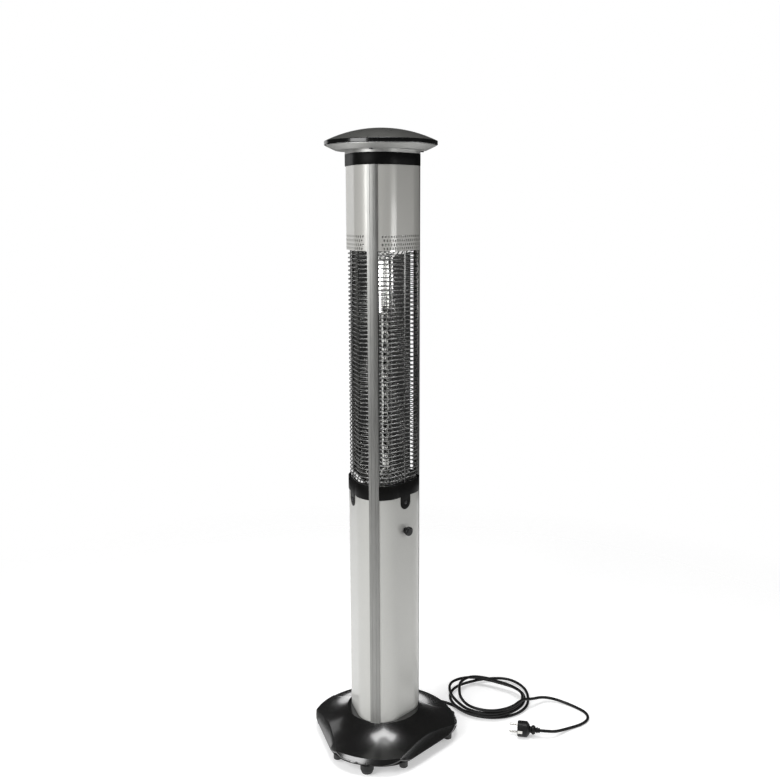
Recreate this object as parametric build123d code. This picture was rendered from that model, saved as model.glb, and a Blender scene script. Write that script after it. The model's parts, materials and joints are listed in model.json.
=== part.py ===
from build123d import *
import os
from math import asin, cos, degrees, radians, sin, sqrt

# Infrared patio heater tower, in millimetres, Z up.
# The origin lies on the floor, on the tower's axis, and the face with the knob looks towards -Y.
# A direction is given as an angle: 0 is -Y, and it turns the way that takes -Y towards +X.
FACES = (0, 120, -120)
POSTS = (60, 180, -60)
KNOB_FACE, REAR_FACE, LEFT_FACE = FACES

# Fits and seats
RUNNING = 0.05
LOOSE = 0.3
SHEET_GAP = 0.2

# Column section: a triangle with round corners
CORNER_RADIUS = 54.0
CORNER_OUT = 29.0
PANEL_WALL = 1.2
SHROUD_PROUD = 0.3

# Heights
TRAY_BOTTOM = 26.0
TRAY_THICK = 2.0
BALLAST_THICK = 12.0
FOOT_HEIGHT = 77.5
LOWER_PANEL_TOP = 601.5
RING_HEIGHT = 31.0
SHROUD_BOTTOM = 1136.5
SHROUD_TOP = 1311.0
BAND_HEIGHT = 24.8
NECK_HEIGHT = 6.7
COVER_BOTTOM = TRAY_BOTTOM + TRAY_THICK
COLUMN_BOTTOM = COVER_BOTTOM + BALLAST_THICK
RING_TOP = LOWER_PANEL_TOP + RING_HEIGHT
BAND_TOP = SHROUD_TOP + BAND_HEIGHT
NECK_TOP = BAND_TOP + NECK_HEIGHT

# Base
BASE_RADIUS = 175.0
BASE_FLAT = 146.0
BASE_CORNER = 95.0
RIM_RADIUS = 168.0
RIM_HEIGHT = 38.5
FOOT_RADIUS = 84.0
FLARE_SAG = 6.3
FACET_TOP_OUT = 130.0
FACET_TOP_HEIGHT = 50.0
COVER_WALL = 3.0
SEAM_GAP = 2.0
REAR_DROP = 1.5
COLUMN_HOLE_GAP = 0.5
BALLAST_RADIUS = 112.0
BALLAST_HOLE = 20.0
BASE_SCREW_OUT = 95.0
BASE_SCREW = 3.0
PAD_RADIUS = 9.5
PAD_BOTTOM = 9.0
PAD_OUT = 131.8
PAD_SIDE = 77.3

# Castors
BALL_RADIUS = 9.5
CASTOR_OUT = 164.0
CASTOR_RADIUS = 15.0
CASTOR_BOTTOM = 5.2
CASTOR_SHOULDER = 13.0
CASTOR_MOUTH = 12.0

# Corner posts
POST_WIDTH = 22.0
POST_STRIP = 2.0
POST_WEB = 4.0
POST_FLANGE_WIDTH = 18.0
POST_FLANGE = 1.7
GROOVE_SIDE = 4.5
GROOVE_WIDTH = 1.6
GROOVE_DEPTH = 0.9

# Ring
RING_PROUD = 1.5
RING_INNER = 1.3
TAB_WIDTH = 31.0
TAB_DROP = 30.0
TAB_SCREW = 4.0
SCREW_HEAD = 4.5
SCREW_HEAD_HEIGHT = 2.4

# Decks and the frame inside the column
DECK_INSET = 3.8
DECK_THICK = 1.5
DECK_SKIRT = 17.0
SOCKET_UPSTAND = 32.0
SOCKET_WALL = 2.0
SOCKET_FLOOR = 3.0
LOWER_DECK_TOP = RING_TOP - 1.5

# Grilles
WIRE_DIAMETER = 2.6
WIRE_COUNT = 54
WIRE_FIRST = 641.5
WIRE_PITCH = 9.18
WIRE_INSET = 3.8
ROD_DIAMETER = 3.0
ROD_PAST_WIRE = 1.9
EDGE_BAR = 3.0

# Reflectors and end plates
SHEET = 0.8
BLADE_REACH = 65.0
BLADE_HALF_GAP = 1.6
PLATE_INSET = 5.2
LOWER_PLATE_AXIS = 657.0
LOWER_PLATE_SLOPE = 0.356
UPPER_PLATE_AXIS = 1113.0
UPPER_PLATE_SLOPE = 0.55

# Lamps
LAMP_OUT = 22.0
LAMP_DIAMETER = 15.0
LAMP_WALL = 1.2
LAMP_PLUG = 12.0
LAMP_HOLE_GAP = 1.0
FILAMENT_DIAMETER = 8.0
FILAMENT_TOP = 1014.0
FILAMENT_BOTTOM = 668.0
FILAMENT_LEAD = 1.6
SOCKET_DIAMETER = 20.0
SOCKET_FLANGE = 26.0
SOCKET_FLANGE_THICK = 2.5
LOWER_SOCKET_BELOW = 20.0
LOWER_SOCKET_ABOVE = 12.5
LAMP_SEAT = 15.0
UPPER_SOCKET_BELOW = 4.2
UPPER_SOCKET_ABOVE = 18.0

# Vent slots
VENT_HEIGHTS = (1166.1, 1157.8, 1149.2, 1141.2)
VENT_PITCH = 6.7
VENT_LENGTH = 5.4
VENT_WIDTH = 2.8
VENT_STEPS = 9

# Cap
BAND_PROUD = 2.0
BAND_INNER = 1.0
NECK_PROUD = 1.8
CAP_RADIUS = 119.4
CAP_RIM_BOTTOM = 1353.0
CAP_RIM_TOP = 1361.5
CAP_TOP = 1388.4
CAP_RIM_WALL = 3.0
CAP_SHEET = 1.2
PAN_LIP = 5.0
SPACER_OUT = 45.0
SPACER_RADIUS = 6.0
CAP_SCREW_PAST_NECK = 7.2
CAP_SCREW_OUT = CORNER_OUT + CORNER_RADIUS + NECK_PROUD + CAP_SCREW_PAST_NECK
PAN_FLAT_PAST_SCREW = 5.0
PAN_FLAT = CAP_SCREW_OUT + PAN_FLAT_PAST_SCREW
STIFFENER_WIDTH = 8.0
STIFFENER_THICK = 3.0
TOP_PLATE_THICK = 1.5

# Knob and rotary switch
KNOB_BELOW_RING = 79.5
KNOB_HEIGHT = LOWER_PANEL_TOP - KNOB_BELOW_RING
KNOB_STEM = 14.0
KNOB_STEM_LENGTH = 6.5
KNOB_DISC = 20.5
KNOB_DISC_LENGTH = 8.0
KNOB_STANDOFF = 0.5
SHAFT_DIAMETER = 6.0
SHAFT_BACK = 46.0
BUSHING_DIAMETER = 9.6
BUSHING_HOLE = 10.4
SWITCH_SIZE = 32.0
SWITCH_FRONT = 62.0
SWITCH_BACK = 36.0
SHOULDER_DIAMETER = 15.0

# Electrical parts inside
TERMINAL_SIZE = (18.0, 28.0, 17.0)
TERMINAL_OUT = 29.0
TILT_SIZE = (24.0, 36.0, 22.0)
TILT_PLACE = (-34.0, 4.0)
CUTOUT_RADIUS = 8.0
CUTOUT_HEIGHT = 8.0
CUTOUT_STANDOFF = 6.0
CUTOUT_LEG_OUT = 15.0
RETURN_LEAD = 2.4
RETURN_DROP = 71.0
LOOM_DIAMETER = 6.0
LOOM_ROUTE = ((31, 4, 140), (24, -2, 225), (18, 6, 310), (20, 14, 395), (12, 22, 480), (5, 30, 560))

# Cord. Its points are where the cord lies on the floor, chosen one by one.
CORD_DIAMETER = 7.0
CORD_ARC_SHARE = 0.45
GLAND_TIP = (161.5, 29.8, 14.0)
GLAND_LENGTH = 30.0
GLAND_ROOT = 7.0
GLAND_END = 5.0
ENTRY_SIZE = (26.0, 34.0, 18.0)
ENTRY_SPIGOT = 16.0
ENTRY_SPIGOT_RISE = 8.0
LEAD_NOTCH = 12.0
LEAD_INSIDE = ((130.0, 31.8), (112.0, 47.0))
LEAD_ROUTE = ((178, 12, 14), (196, -6, 8), (209, -27, 3.5), (209, -52, 3.5))
LEAD_RUN = 14.0
COIL_TURN = -47.1
COIL_MIDDLE = (265, 155)
COIL_FLOOR = 3.9
COIL_START = 222.0
COIL_STEP = 30.0
COIL_CLIMB = 8.0
COIL_RADII = (
    91, 92, 95, 99, 101, 101, 113, 101, 85, 87, 94, 97,
    98, 100, 98, 94, 92, 85, 69, 67, 82, 104, 101, 90,
    95, 103, 100, 92, 88, 75, 59, 59, 75, 83, 73, 74,
    89, 102, 102, 95,
)
COIL_EXIT = 24.0
TAIL_ROUTE = (
    (338, -191, 22),
    (374, -196, 15),
    (397, -216, 8.5),
    (405, -247, 5),
    (406, -279, 3.5),
    (400, -310, 3.5),
    (378, -329, 3.5),
    (346, -329, 3.5),
    (314, -318, 4.5),
    (287, -312, 8),
    (262, -309, 14),
)
PLUG_BACK = (234.0, -283.4)
PLUG_FRONT = (207.3, -238.8)
PLUG_HEIGHT = 18.6
PLUG_RUN = 20.0
PLUG_HEAD = 18.4
PLUG_HEAD_LENGTH = 24.0
PIN_DIAMETER = 4.8
PIN_LENGTH = 19.0
PIN_PITCH = 19.0
PIN_SEAT = 6.0
EARTH_CLIP = (2.0, 8.0, 12.0)


def direction(angle):
    """A level unit vector at one of the directions used here."""
    return Vector(sin(radians(angle)), -cos(radians(angle)), 0)


def turned(shape, angle):
    """A copy of a shape made for the knob's face, turned to another direction."""
    return Rot(0, 0, angle) * shape


def column_face(grow):
    """The column's round-cornered triangle, larger by the given amount on every side."""
    corners = [direction(a) * CORNER_OUT for a in POSTS]
    triangle = make_face(Polyline(*corners, close=True))
    return offset(triangle, amount=CORNER_RADIUS + grow, kind=Kind.ARC)


def column_prism(grow, bottom, top):
    return extrude(Pos(0, 0, bottom) * column_face(grow), top - bottom)


def column_shell(outer, inner, bottom, top):
    return column_prism(outer, bottom, top) - column_prism(inner, bottom, top)


def sector(gap, bottom, top):
    """The space in front of the knob's face, between two planes set in from the posts' planes."""
    reach = 3 * CORNER_RADIUS
    apex = direction(KNOB_FACE) * (gap / sin(radians(60)))
    rays = [apex + direction(a) * reach for a in (-60, 60)]
    wide = apex + direction(KNOB_FACE) * 2 * reach
    face = make_face(Polyline(apex, rays[0], wide, rays[1], close=True))
    return extrude(Pos(0, 0, bottom) * face, top - bottom)


def upright(radius, bottom, top, x=0.0, y=0.0):
    return Pos(x, y, bottom) * extrude(Circle(radius), top - bottom)


def outward(radius, near, far, height, side=0.0):
    """A cylinder that points out of the knob's face, between two distances from the axis."""
    plane = Plane(origin=(side, -near, height), x_dir=(1, 0, 0), z_dir=(0, -1, 0))
    return plane * extrude(Circle(radius), far - near)


def filleted_tube(points, diameter, name):
    """A tube on straight runs joined by arcs, each arc as large as its runs allow."""
    spots = [Vector(*p) for p in points]
    radii = []
    for before, here, after in zip(spots, spots[1:], spots[2:]):
        run_in = here - before
        run_out = after - here
        half_turn = radians(run_in.get_angle(run_out) / 2)
        radii.append(CORD_ARC_SHARE * min(run_in.length, run_out.length) * cos(half_turn) / sin(half_turn))
    path = FilletPolyline(*spots, radius=radii)
    start = Plane(origin=path @ 0, z_dir=path % 0)
    tube = sweep(start * Circle(diameter / 2), path=path)
    expected = 3.14159265 * (diameter / 2) ** 2 * path.length
    print(name, "length", round(path.length, 1), "radii", [round(r, 1) for r in radii])
    print(name, "volume over section times length", round(tube.volume / expected, 4))
    return tube


# ---------------------------------------------------------------- base

def base_outline():
    """The base in plan: a circle with two flats and rounded corners."""
    plan = Circle(BASE_RADIUS)
    keep = Pos(0, BASE_RADIUS - BASE_FLAT) * Rectangle(3 * BASE_RADIUS, 2 * BASE_RADIUS)
    for angle in (KNOB_FACE, LEFT_FACE):
        plan = plan & turned(keep, angle)
    return fillet(plan.vertices(), BASE_CORNER)


def dome_profile():
    """Half of the base's outer form, from its lower edge to the column."""
    rim = (RIM_RADIUS, RIM_HEIGHT)
    foot = (FOOT_RADIUS, FOOT_HEIGHT)
    run = FOOT_RADIUS - RIM_RADIUS
    rise = FOOT_HEIGHT - RIM_HEIGHT
    chord = sqrt(run ** 2 + rise ** 2)
    middle = (
        (RIM_RADIUS + FOOT_RADIUS) / 2 - FLARE_SAG * rise / chord,
        (RIM_HEIGHT + FOOT_HEIGHT) / 2 + FLARE_SAG * run / chord,
    )
    wall = Line((BASE_RADIUS, COVER_BOTTOM), rim)
    flare = ThreePointArc(rim, middle, foot)
    top = Line(foot, (0, FOOT_HEIGHT))
    axis = Line((0, FOOT_HEIGHT), (0, COVER_BOTTOM))
    floor = Line((0, COVER_BOTTOM), (BASE_RADIUS, COVER_BOTTOM))
    return make_face(wall + flare + top + axis + floor)


def base_form():
    """The closed outer form of the base: a low dome with two sloping facets."""
    form = revolve(Plane.XZ * dome_profile(), Axis.Z)
    slope = (BASE_FLAT - FACET_TOP_OUT) / (FACET_TOP_HEIGHT - COVER_BOTTOM)
    high = FACET_TOP_HEIGHT + 60
    outside = make_face(Polyline(
        (BASE_FLAT, COVER_BOTTOM),
        (BASE_FLAT - slope * (high - COVER_BOTTOM), high),
        (2 * BASE_RADIUS, high),
        (2 * BASE_RADIUS, COVER_BOTTOM - 5),
        (BASE_FLAT + slope * 5, COVER_BOTTOM - 5),
        close=True,
    ))
    side = Plane(origin=(0, 0, 0), x_dir=(0, -1, 0), z_dir=(-1, 0, 0))
    block = extrude(side * outside, 2 * BASE_RADIUS, both=True)
    for angle in (KNOB_FACE, LEFT_FACE):
        form = form - turned(block, angle)
    return form & extrude(Pos(0, 0, COVER_BOTTOM) * base_outline(), FOOT_HEIGHT)


def column_hole():
    """The opening in the base cover that the column and its posts pass through."""
    hole = column_prism(COLUMN_HOLE_GAP, COVER_BOTTOM - 10, FOOT_HEIGHT + 10)
    for angle in POSTS:
        outer = CORNER_RADIUS + SHEET_GAP + POST_STRIP + COLUMN_HOLE_GAP
        wide = POST_WIDTH + 2 * COLUMN_HOLE_GAP
        strip = Pos(0, -CORNER_OUT) * Circle(outer)
        strip = strip & (Pos(0, -CORNER_OUT - outer) * Rectangle(wide, 2 * outer))
        hole = hole + turned(extrude(Pos(0, 0, COVER_BOTTOM - 10) * strip, FOOT_HEIGHT), angle)
    return hole


def rear_wedge(grow):
    """The sector behind the column, between the right post and the rear post."""
    reach = 2 * BASE_RADIUS
    shift = direction(REAR_FACE) * (-grow / sin(radians(60)))
    rays = [shift + direction(REAR_FACE + side) * reach for side in (-60, 60)]
    wide = shift + direction(REAR_FACE) * 2 * reach
    return extrude(make_face(Polyline(shift, rays[0], wide, rays[1], close=True)), 3 * FOOT_HEIGHT)


def base_covers():
    """The front cover with both facets, and the rear cover that lies a little lower."""
    form = base_form()
    hole = column_hole()
    shell = form - Pos(0, 0, -COVER_WALL) * form - hole
    front = shell - rear_wedge(0)
    rear_form = Pos(0, 0, -REAR_DROP) * form
    rear = rear_form - Pos(0, 0, -COVER_WALL) * rear_form - hole
    rear = rear & rear_wedge(-SEAM_GAP)
    above = Pos(0, 0, COVER_BOTTOM) * extrude(Circle(2 * BASE_RADIUS), FOOT_HEIGHT)
    return front, rear & above


def base_tray():
    """The thin plate whose edge shows as a lip under the cover."""
    plate = extrude(Pos(0, 0, TRAY_BOTTOM) * base_outline(), TRAY_THICK)
    place = entry_place()
    spigot = ENTRY_SPIGOT + 2 * LOOSE
    opening = place * Pos(0, 0, TRAY_BOTTOM) * extrude(Rectangle(spigot, spigot), TRAY_THICK)
    for angle in FACES:
        spot = direction(angle) * BASE_SCREW_OUT
        plate = plate - upright(BASE_SCREW + LOOSE, TRAY_BOTTOM, COVER_BOTTOM, spot.X, spot.Y)
    return plate - opening


def ballast():
    """The cast weight on the tray."""
    disc = upright(BALLAST_RADIUS, COVER_BOTTOM, COLUMN_BOTTOM)
    disc = disc - upright(BALLAST_HOLE, COVER_BOTTOM, COLUMN_BOTTOM)
    for angle in FACES:
        spot = direction(angle) * BASE_SCREW_OUT
        disc = disc - upright(BASE_SCREW + RUNNING, COVER_BOTTOM, COLUMN_BOTTOM, spot.X, spot.Y)
    return disc


def base_screws():
    group = []
    for angle in FACES:
        spot = direction(angle) * BASE_SCREW_OUT
        head = upright(5.0, TRAY_BOTTOM - 3, TRAY_BOTTOM, spot.X, spot.Y)
        slot = Pos(spot.X, spot.Y, TRAY_BOTTOM - 3) * extrude(Rectangle(1.2, 8), 1.2)
        shank = upright(BASE_SCREW, TRAY_BOTTOM, COLUMN_BOTTOM - 2, spot.X, spot.Y)
        group.append(head - slot + shank)
    return group


def base_pads():
    """Six rubber tip stops, which stay clear of the floor."""
    profile = make_face(
        Line((0, PAD_BOTTOM), (PAD_RADIUS - 2, PAD_BOTTOM))
        + RadiusArc((PAD_RADIUS - 2, PAD_BOTTOM), (PAD_RADIUS, PAD_BOTTOM + 2), -2)
        + Line((PAD_RADIUS, PAD_BOTTOM + 2), (PAD_RADIUS, TRAY_BOTTOM))
        + Line((PAD_RADIUS, TRAY_BOTTOM), (0, TRAY_BOTTOM))
        + Line((0, TRAY_BOTTOM), (0, PAD_BOTTOM))
    )
    pad = revolve(Plane.XZ * profile, Axis.Z)
    return [turned(Pos(side, -PAD_OUT, 0) * pad, a) for a in FACES for side in (-PAD_SIDE, PAD_SIDE)]


def castor_housing(angle):
    """A cup that holds the ball past its middle and hangs from the tray."""
    profile = make_face(Polyline(
        (0, CASTOR_BOTTOM),
        (CASTOR_MOUTH, CASTOR_BOTTOM),
        (CASTOR_RADIUS, CASTOR_SHOULDER),
        (CASTOR_RADIUS, TRAY_BOTTOM),
        (0, TRAY_BOTTOM),
        close=True,
    ))
    cup = revolve(Plane.XZ * profile, Axis.Z) - Pos(0, 0, BALL_RADIUS) * Sphere(BALL_RADIUS + LOOSE)
    return turned(Pos(0, -CASTOR_OUT, 0) * cup, angle)


def castor_ball(angle):
    return turned(Pos(0, -CASTOR_OUT, BALL_RADIUS) * Sphere(BALL_RADIUS), angle)


# ---------------------------------------------------------------- column

def corner_post(angle):
    """An extruded post: outer strip, web between the panels, and inner flange."""
    inner = CORNER_RADIUS + SHEET_GAP
    outer = inner + POST_STRIP
    flange_outer = CORNER_RADIUS - RING_INNER - SHEET_GAP
    flange_inner = flange_outer - POST_FLANGE
    centre = Pos(0, -CORNER_OUT)
    front = Pos(0, -CORNER_OUT - outer)
    strip = centre * (Circle(outer) - Circle(inner)) & front * Rectangle(POST_WIDTH, 2 * outer)
    web_mid = (inner + flange_inner) / 2
    web = Pos(0, -CORNER_OUT - web_mid) * Rectangle(POST_WEB, inner - flange_inner)
    flange = centre * (Circle(flange_outer) - Circle(flange_inner))
    flange = flange & front * Rectangle(POST_FLANGE_WIDTH, 2 * outer)
    section = strip + web + flange
    for side in (-GROOVE_SIDE, GROOVE_SIDE):
        section = section - Pos(side, -CORNER_OUT - outer) * Rectangle(GROOVE_WIDTH, 2 * GROOVE_DEPTH)
    return turned(extrude(Pos(0, 0, COLUMN_BOTTOM) * section, SHROUD_TOP - COLUMN_BOTTOM), angle)


def lower_panel(angle):
    """One face of the lower column, held between two posts."""
    panel = column_shell(0, -PANEL_WALL, COLUMN_BOTTOM, LOWER_PANEL_TOP)
    panel = panel & sector(POST_WEB / 2 + SHEET_GAP, COLUMN_BOTTOM, LOWER_PANEL_TOP)
    apothem = CORNER_RADIUS + CORNER_OUT / 2
    tab_hole = outward(TAB_SCREW / 2 + LOOSE, apothem - 5, apothem + 5, tab_centre_height())
    panel = panel - tab_hole
    if angle == KNOB_FACE:
        panel = panel - outward(BUSHING_HOLE / 2, apothem - 5, apothem + 5, KNOB_HEIGHT)
    if angle == REAR_FACE:
        panel = panel - lead_notch()
    return turned(panel, angle)


def lead_notch():
    """The slot at the foot of the rear face that the mains lead passes through."""
    top = LEAD_INSIDE[1][1] + LEAD_NOTCH / 2
    height = top - COLUMN_BOTTOM
    middle = Pos(lead_side(), -CORNER_RADIUS, COLUMN_BOTTOM + height / 2)
    return middle * Box(LEAD_NOTCH, CORNER_RADIUS, height)


def tab_centre_height():
    return LOWER_PANEL_TOP - TAB_DROP + TAB_WIDTH / 2


def ring_segment(angle):
    """A third of the ring, with the tab that its screw goes through."""
    body = column_shell(RING_PROUD, -RING_INNER, LOWER_PANEL_TOP, RING_TOP)
    body = body & sector(POST_WIDTH / 2 + LOOSE, LOWER_PANEL_TOP, RING_TOP)
    apothem = CORNER_RADIUS + CORNER_OUT / 2
    tab_face = Plane(origin=(0, -apothem, 0), x_dir=(1, 0, 0), z_dir=(0, -1, 0))
    middle = tab_centre_height()
    shape = Pos(0, middle) * Circle(TAB_WIDTH / 2)
    upper = LOWER_PANEL_TOP + 2 - middle
    shape = shape + Pos(0, middle + upper / 2) * Rectangle(TAB_WIDTH, upper)
    tab = tab_face * extrude(shape, RING_PROUD)
    hole = outward(TAB_SCREW / 2 + LOOSE, apothem - 5, apothem + 5, middle)
    return turned(body + tab - hole, angle)


def ring_screw(angle):
    """A round-headed screw with a cross recess."""
    seat = CORNER_RADIUS + CORNER_OUT / 2 + RING_PROUD
    middle = tab_centre_height()
    shank = outward(TAB_SCREW / 2, seat - 9, seat, middle)
    dome_radius = (SCREW_HEAD ** 2 + SCREW_HEAD_HEIGHT ** 2) / (2 * SCREW_HEAD_HEIGHT)
    ball = Pos(0, -seat + dome_radius - SCREW_HEAD_HEIGHT, middle) * Sphere(dome_radius)
    head = ball & outward(SCREW_HEAD + 1, seat, seat + SCREW_HEAD_HEIGHT, middle)
    top = seat + SCREW_HEAD_HEIGHT
    for wide, tall in ((1.0, 4.6), (4.6, 1.0)):
        head = head - Pos(0, -top, middle) * Box(wide, 2.4, tall)
    return turned(head + shank, angle)


def column_socket():
    """The tray bolted to the weight, with a rim that stands inside the column."""
    outer = -DECK_INSET
    floor = column_prism(outer, COLUMN_BOTTOM, COLUMN_BOTTOM + SOCKET_FLOOR)
    rim = column_shell(outer, outer - SOCKET_WALL, COLUMN_BOTTOM, COLUMN_BOTTOM + SOCKET_UPSTAND)
    notch = turned(lead_notch(), REAR_FACE)
    above = upright(200, COLUMN_BOTTOM + SOCKET_FLOOR, COLUMN_BOTTOM + SOCKET_UPSTAND)
    return floor + rim - (notch & above)


def lower_deck():
    """The plate that closes the lower column, with a skirt inside the ring."""
    plate = column_prism(-DECK_INSET, LOWER_DECK_TOP - DECK_THICK, LOWER_DECK_TOP)
    skirt = column_shell(-DECK_INSET, -DECK_INSET - 1, LOWER_DECK_TOP - DECK_SKIRT, LOWER_DECK_TOP)
    return plate + skirt - deck_holes()


def upper_deck():
    """The plate between the lamps and the shroud."""
    return column_prism(-DECK_INSET, SHROUD_BOTTOM, SHROUD_BOTTOM + DECK_THICK) - deck_holes()


def deck_holes():
    """Holes for three lamp sockets and the lead on the axis, all the way up."""
    tools = upright(RETURN_LEAD / 2 + LOOSE, COLUMN_BOTTOM, SHROUD_TOP)
    hole = upright(SOCKET_DIAMETER / 2 + LOOSE, COLUMN_BOTTOM, SHROUD_TOP, 0, -LAMP_OUT)
    for angle in FACES:
        tools = tools + turned(hole, angle)
    return tools


# ---------------------------------------------------------------- heating zone

def wire_path():
    """One grille wire's line, from edge bar to edge bar, at height zero."""
    radius = CORNER_RADIUS - WIRE_INSET
    bar_middle = POST_FLANGE_WIDTH / 2 + LOOSE + EDGE_BAR / 2
    span = 60 - degrees(asin(bar_middle / radius))
    left = direction(-60) * CORNER_OUT
    right = direction(60) * CORNER_OUT
    left_arc = ThreePointArc(
        left + direction(-span) * radius,
        left + direction(-span / 2) * radius,
        left + direction(0) * radius,
    )
    flat = Line(left + direction(0) * radius, right + direction(0) * radius)
    right_arc = ThreePointArc(
        right + direction(0) * radius,
        right + direction(span / 2) * radius,
        right + direction(span) * radius,
    )
    return Wire([left_arc.edge(), flat.edge(), right_arc.edge()])


def wire_grille(angle):
    """Level wires welded to two edge bars and to one upright rod."""
    bottom = RING_TOP + LOOSE
    top = SHROUD_BOTTOM - LOOSE
    path = wire_path()
    section = Plane(origin=path @ 0, z_dir=path % 0) * Circle(WIRE_DIAMETER / 2)
    wire = sweep(section, path=path)
    rod = upright(ROD_DIAMETER / 2, bottom, top, 0, WIRE_INSET - ROD_PAST_WIRE - panel_front())
    middle_radius = CORNER_RADIUS - WIRE_INSET + EDGE_BAR / 4
    bars = []
    for side in (-1, 1):
        corner = Pos(0, -CORNER_OUT) * (
            Circle(middle_radius + EDGE_BAR / 2) - Circle(middle_radius - EDGE_BAR / 2)
        )
        near = POST_FLANGE_WIDTH / 2 + LOOSE
        strip = Pos(-side * (near + EDGE_BAR / 2), -CORNER_OUT - middle_radius) * Rectangle(EDGE_BAR, 20)
        bar = extrude(Pos(0, 0, bottom) * (corner & strip), top - bottom)
        bars.append(turned(bar, 60 * side))
    wires = [Pos(0, 0, WIRE_FIRST + WIRE_PITCH * i) * wire for i in range(WIRE_COUNT)]
    grille = rod.fuse(*bars, *wires)
    return turned(grille, angle)


def reflector_sheet(angle):
    """A bright sheet folded to a V, whose two wings point at the posts."""
    sheet = sector(BLADE_HALF_GAP, LOWER_DECK_TOP, SHROUD_BOTTOM)
    sheet = sheet - sector(BLADE_HALF_GAP + SHEET, LOWER_DECK_TOP, SHROUD_BOTTOM)
    sheet = sheet & upright(BLADE_REACH, LOWER_DECK_TOP, SHROUD_BOTTOM)
    return turned(sheet, angle)


def sloped_plate(corners, angle):
    """A bright end plate cut from a bent strip, seen from the side as the given outline."""
    side = Plane(origin=(0, 0, 0), x_dir=(0, -1, 0), z_dir=(-1, 0, 0))
    strip = extrude(side * make_face(Polyline(*corners, close=True)), 100, both=True)
    low = min(z for _, z in corners) - 1
    high = max(z for _, z in corners) + 1
    bay = sector(BLADE_HALF_GAP + SHEET + LOOSE, low, high) & column_prism(-PLATE_INSET, low, high)
    hole = upright(LAMP_DIAMETER / 2 + LAMP_HOLE_GAP, low, high, 0, -LAMP_OUT)
    return turned((strip & bay) - hole, angle)


def lower_end_plate(angle):
    """The plate that falls from the axis to the ring."""
    reach = 70.0
    fall = LOWER_PLATE_SLOPE * reach
    top = LOWER_PLATE_AXIS
    end = top - fall
    return sloped_plate(((0, top), (reach, end), (reach, end - SHEET), (0, top - SHEET)), angle)


def upper_end_plate(angle):
    """The plate that rises from the axis and then runs level under the upper deck."""
    level = SHROUD_BOTTOM - LOOSE
    start = UPPER_PLATE_AXIS
    bend = (level - start) / UPPER_PLATE_SLOPE
    corners = ((0, start), (bend, level), (70, level), (70, level - SHEET), (bend, level - SHEET))
    return sloped_plate(corners + ((0, start - SHEET),), angle)


def lamp_levels():
    """The lamp's lower and upper end."""
    lower_floor = LOWER_DECK_TOP + LOWER_SOCKET_ABOVE - LAMP_SEAT
    upper_roof = SHROUD_BOTTOM - UPPER_SOCKET_BELOW + LAMP_SEAT
    return lower_floor + LOOSE, upper_roof - LOOSE


def lamp_tube(angle):
    """A quartz tube, closed at both ends."""
    bottom, top = lamp_levels()
    tube = upright(LAMP_DIAMETER / 2, bottom, top, 0, -LAMP_OUT)
    bore = upright(LAMP_DIAMETER / 2 - LAMP_WALL, bottom + LAMP_PLUG, top - LAMP_PLUG, 0, -LAMP_OUT)
    return turned(tube - bore, angle)


def lamp_filament(angle):
    """The dark heating element, held by a thin lead at each end."""
    bottom, top = lamp_levels()
    core = upright(FILAMENT_DIAMETER / 2, FILAMENT_BOTTOM, FILAMENT_TOP, 0, -LAMP_OUT)
    lead = upright(FILAMENT_LEAD / 2, bottom + LAMP_PLUG, top - LAMP_PLUG, 0, -LAMP_OUT)
    return turned(core + lead, angle)


def lower_socket(angle):
    """A ceramic socket that hangs in the lower deck by its flange."""
    deck = LOWER_DECK_TOP
    body = upright(SOCKET_DIAMETER / 2, deck - LOWER_SOCKET_BELOW, deck + LOWER_SOCKET_ABOVE, 0, -LAMP_OUT)
    body = body + upright(SOCKET_FLANGE / 2, deck, deck + SOCKET_FLANGE_THICK, 0, -LAMP_OUT)
    floor = deck + LOWER_SOCKET_ABOVE - LAMP_SEAT
    bore = upright(LAMP_DIAMETER / 2 + SHEET_GAP, floor, deck + LOWER_SOCKET_ABOVE, 0, -LAMP_OUT)
    return turned(body - bore, angle)


def upper_socket(angle):
    """A ceramic socket that rests on the upper deck by its flange."""
    start = SHROUD_BOTTOM - UPPER_SOCKET_BELOW
    deck = SHROUD_BOTTOM + DECK_THICK
    body = upright(SOCKET_DIAMETER / 2, start, deck + UPPER_SOCKET_ABOVE, 0, -LAMP_OUT)
    body = body + upright(SOCKET_FLANGE / 2, deck, deck + SOCKET_FLANGE_THICK, 0, -LAMP_OUT)
    bore = upright(LAMP_DIAMETER / 2 + SHEET_GAP, start, start + LAMP_SEAT, 0, -LAMP_OUT)
    return turned(body - bore, angle)


# ---------------------------------------------------------------- top

def vent_cutter(along, height):
    """One upright slot, placed by its distance along the face from the middle."""
    half_flat = CORNER_OUT * sin(radians(60))
    if abs(along) <= half_flat:
        centre = Vector(along, -CORNER_OUT / 2, 0)
        angle = 0
    else:
        side = 1 if along > 0 else -1
        centre = direction(60 * side) * CORNER_OUT
        angle = side * degrees((abs(along) - half_flat) / CORNER_RADIUS)
    spot = centre + direction(angle) * CORNER_RADIUS + Vector(0, 0, height)
    plane = Plane(origin=spot, x_dir=(0, 0, 1), z_dir=direction(angle))
    return plane * extrude(SlotOverall(VENT_LENGTH, VENT_WIDTH), 4, both=True)


def shroud_panel(angle):
    """One face of the upper shroud, with four staggered rows of vent slots."""
    panel = column_shell(SHROUD_PROUD - SHEET_GAP, -PANEL_WALL, SHROUD_BOTTOM, SHROUD_TOP)
    panel = panel & sector(POST_WEB / 2 + SHEET_GAP, SHROUD_BOTTOM, SHROUD_TOP)
    cutters = []
    for row, height in enumerate(VENT_HEIGHTS):
        start = -VENT_STEPS if row % 2 == 0 else -VENT_STEPS + 0.5
        count = 2 * VENT_STEPS + 1 if row % 2 == 0 else 2 * VENT_STEPS
        for i in range(count):
            cutters.append(vent_cutter((start + i) * VENT_PITCH, height))
    return turned(panel.cut(*cutters), angle)


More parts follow.
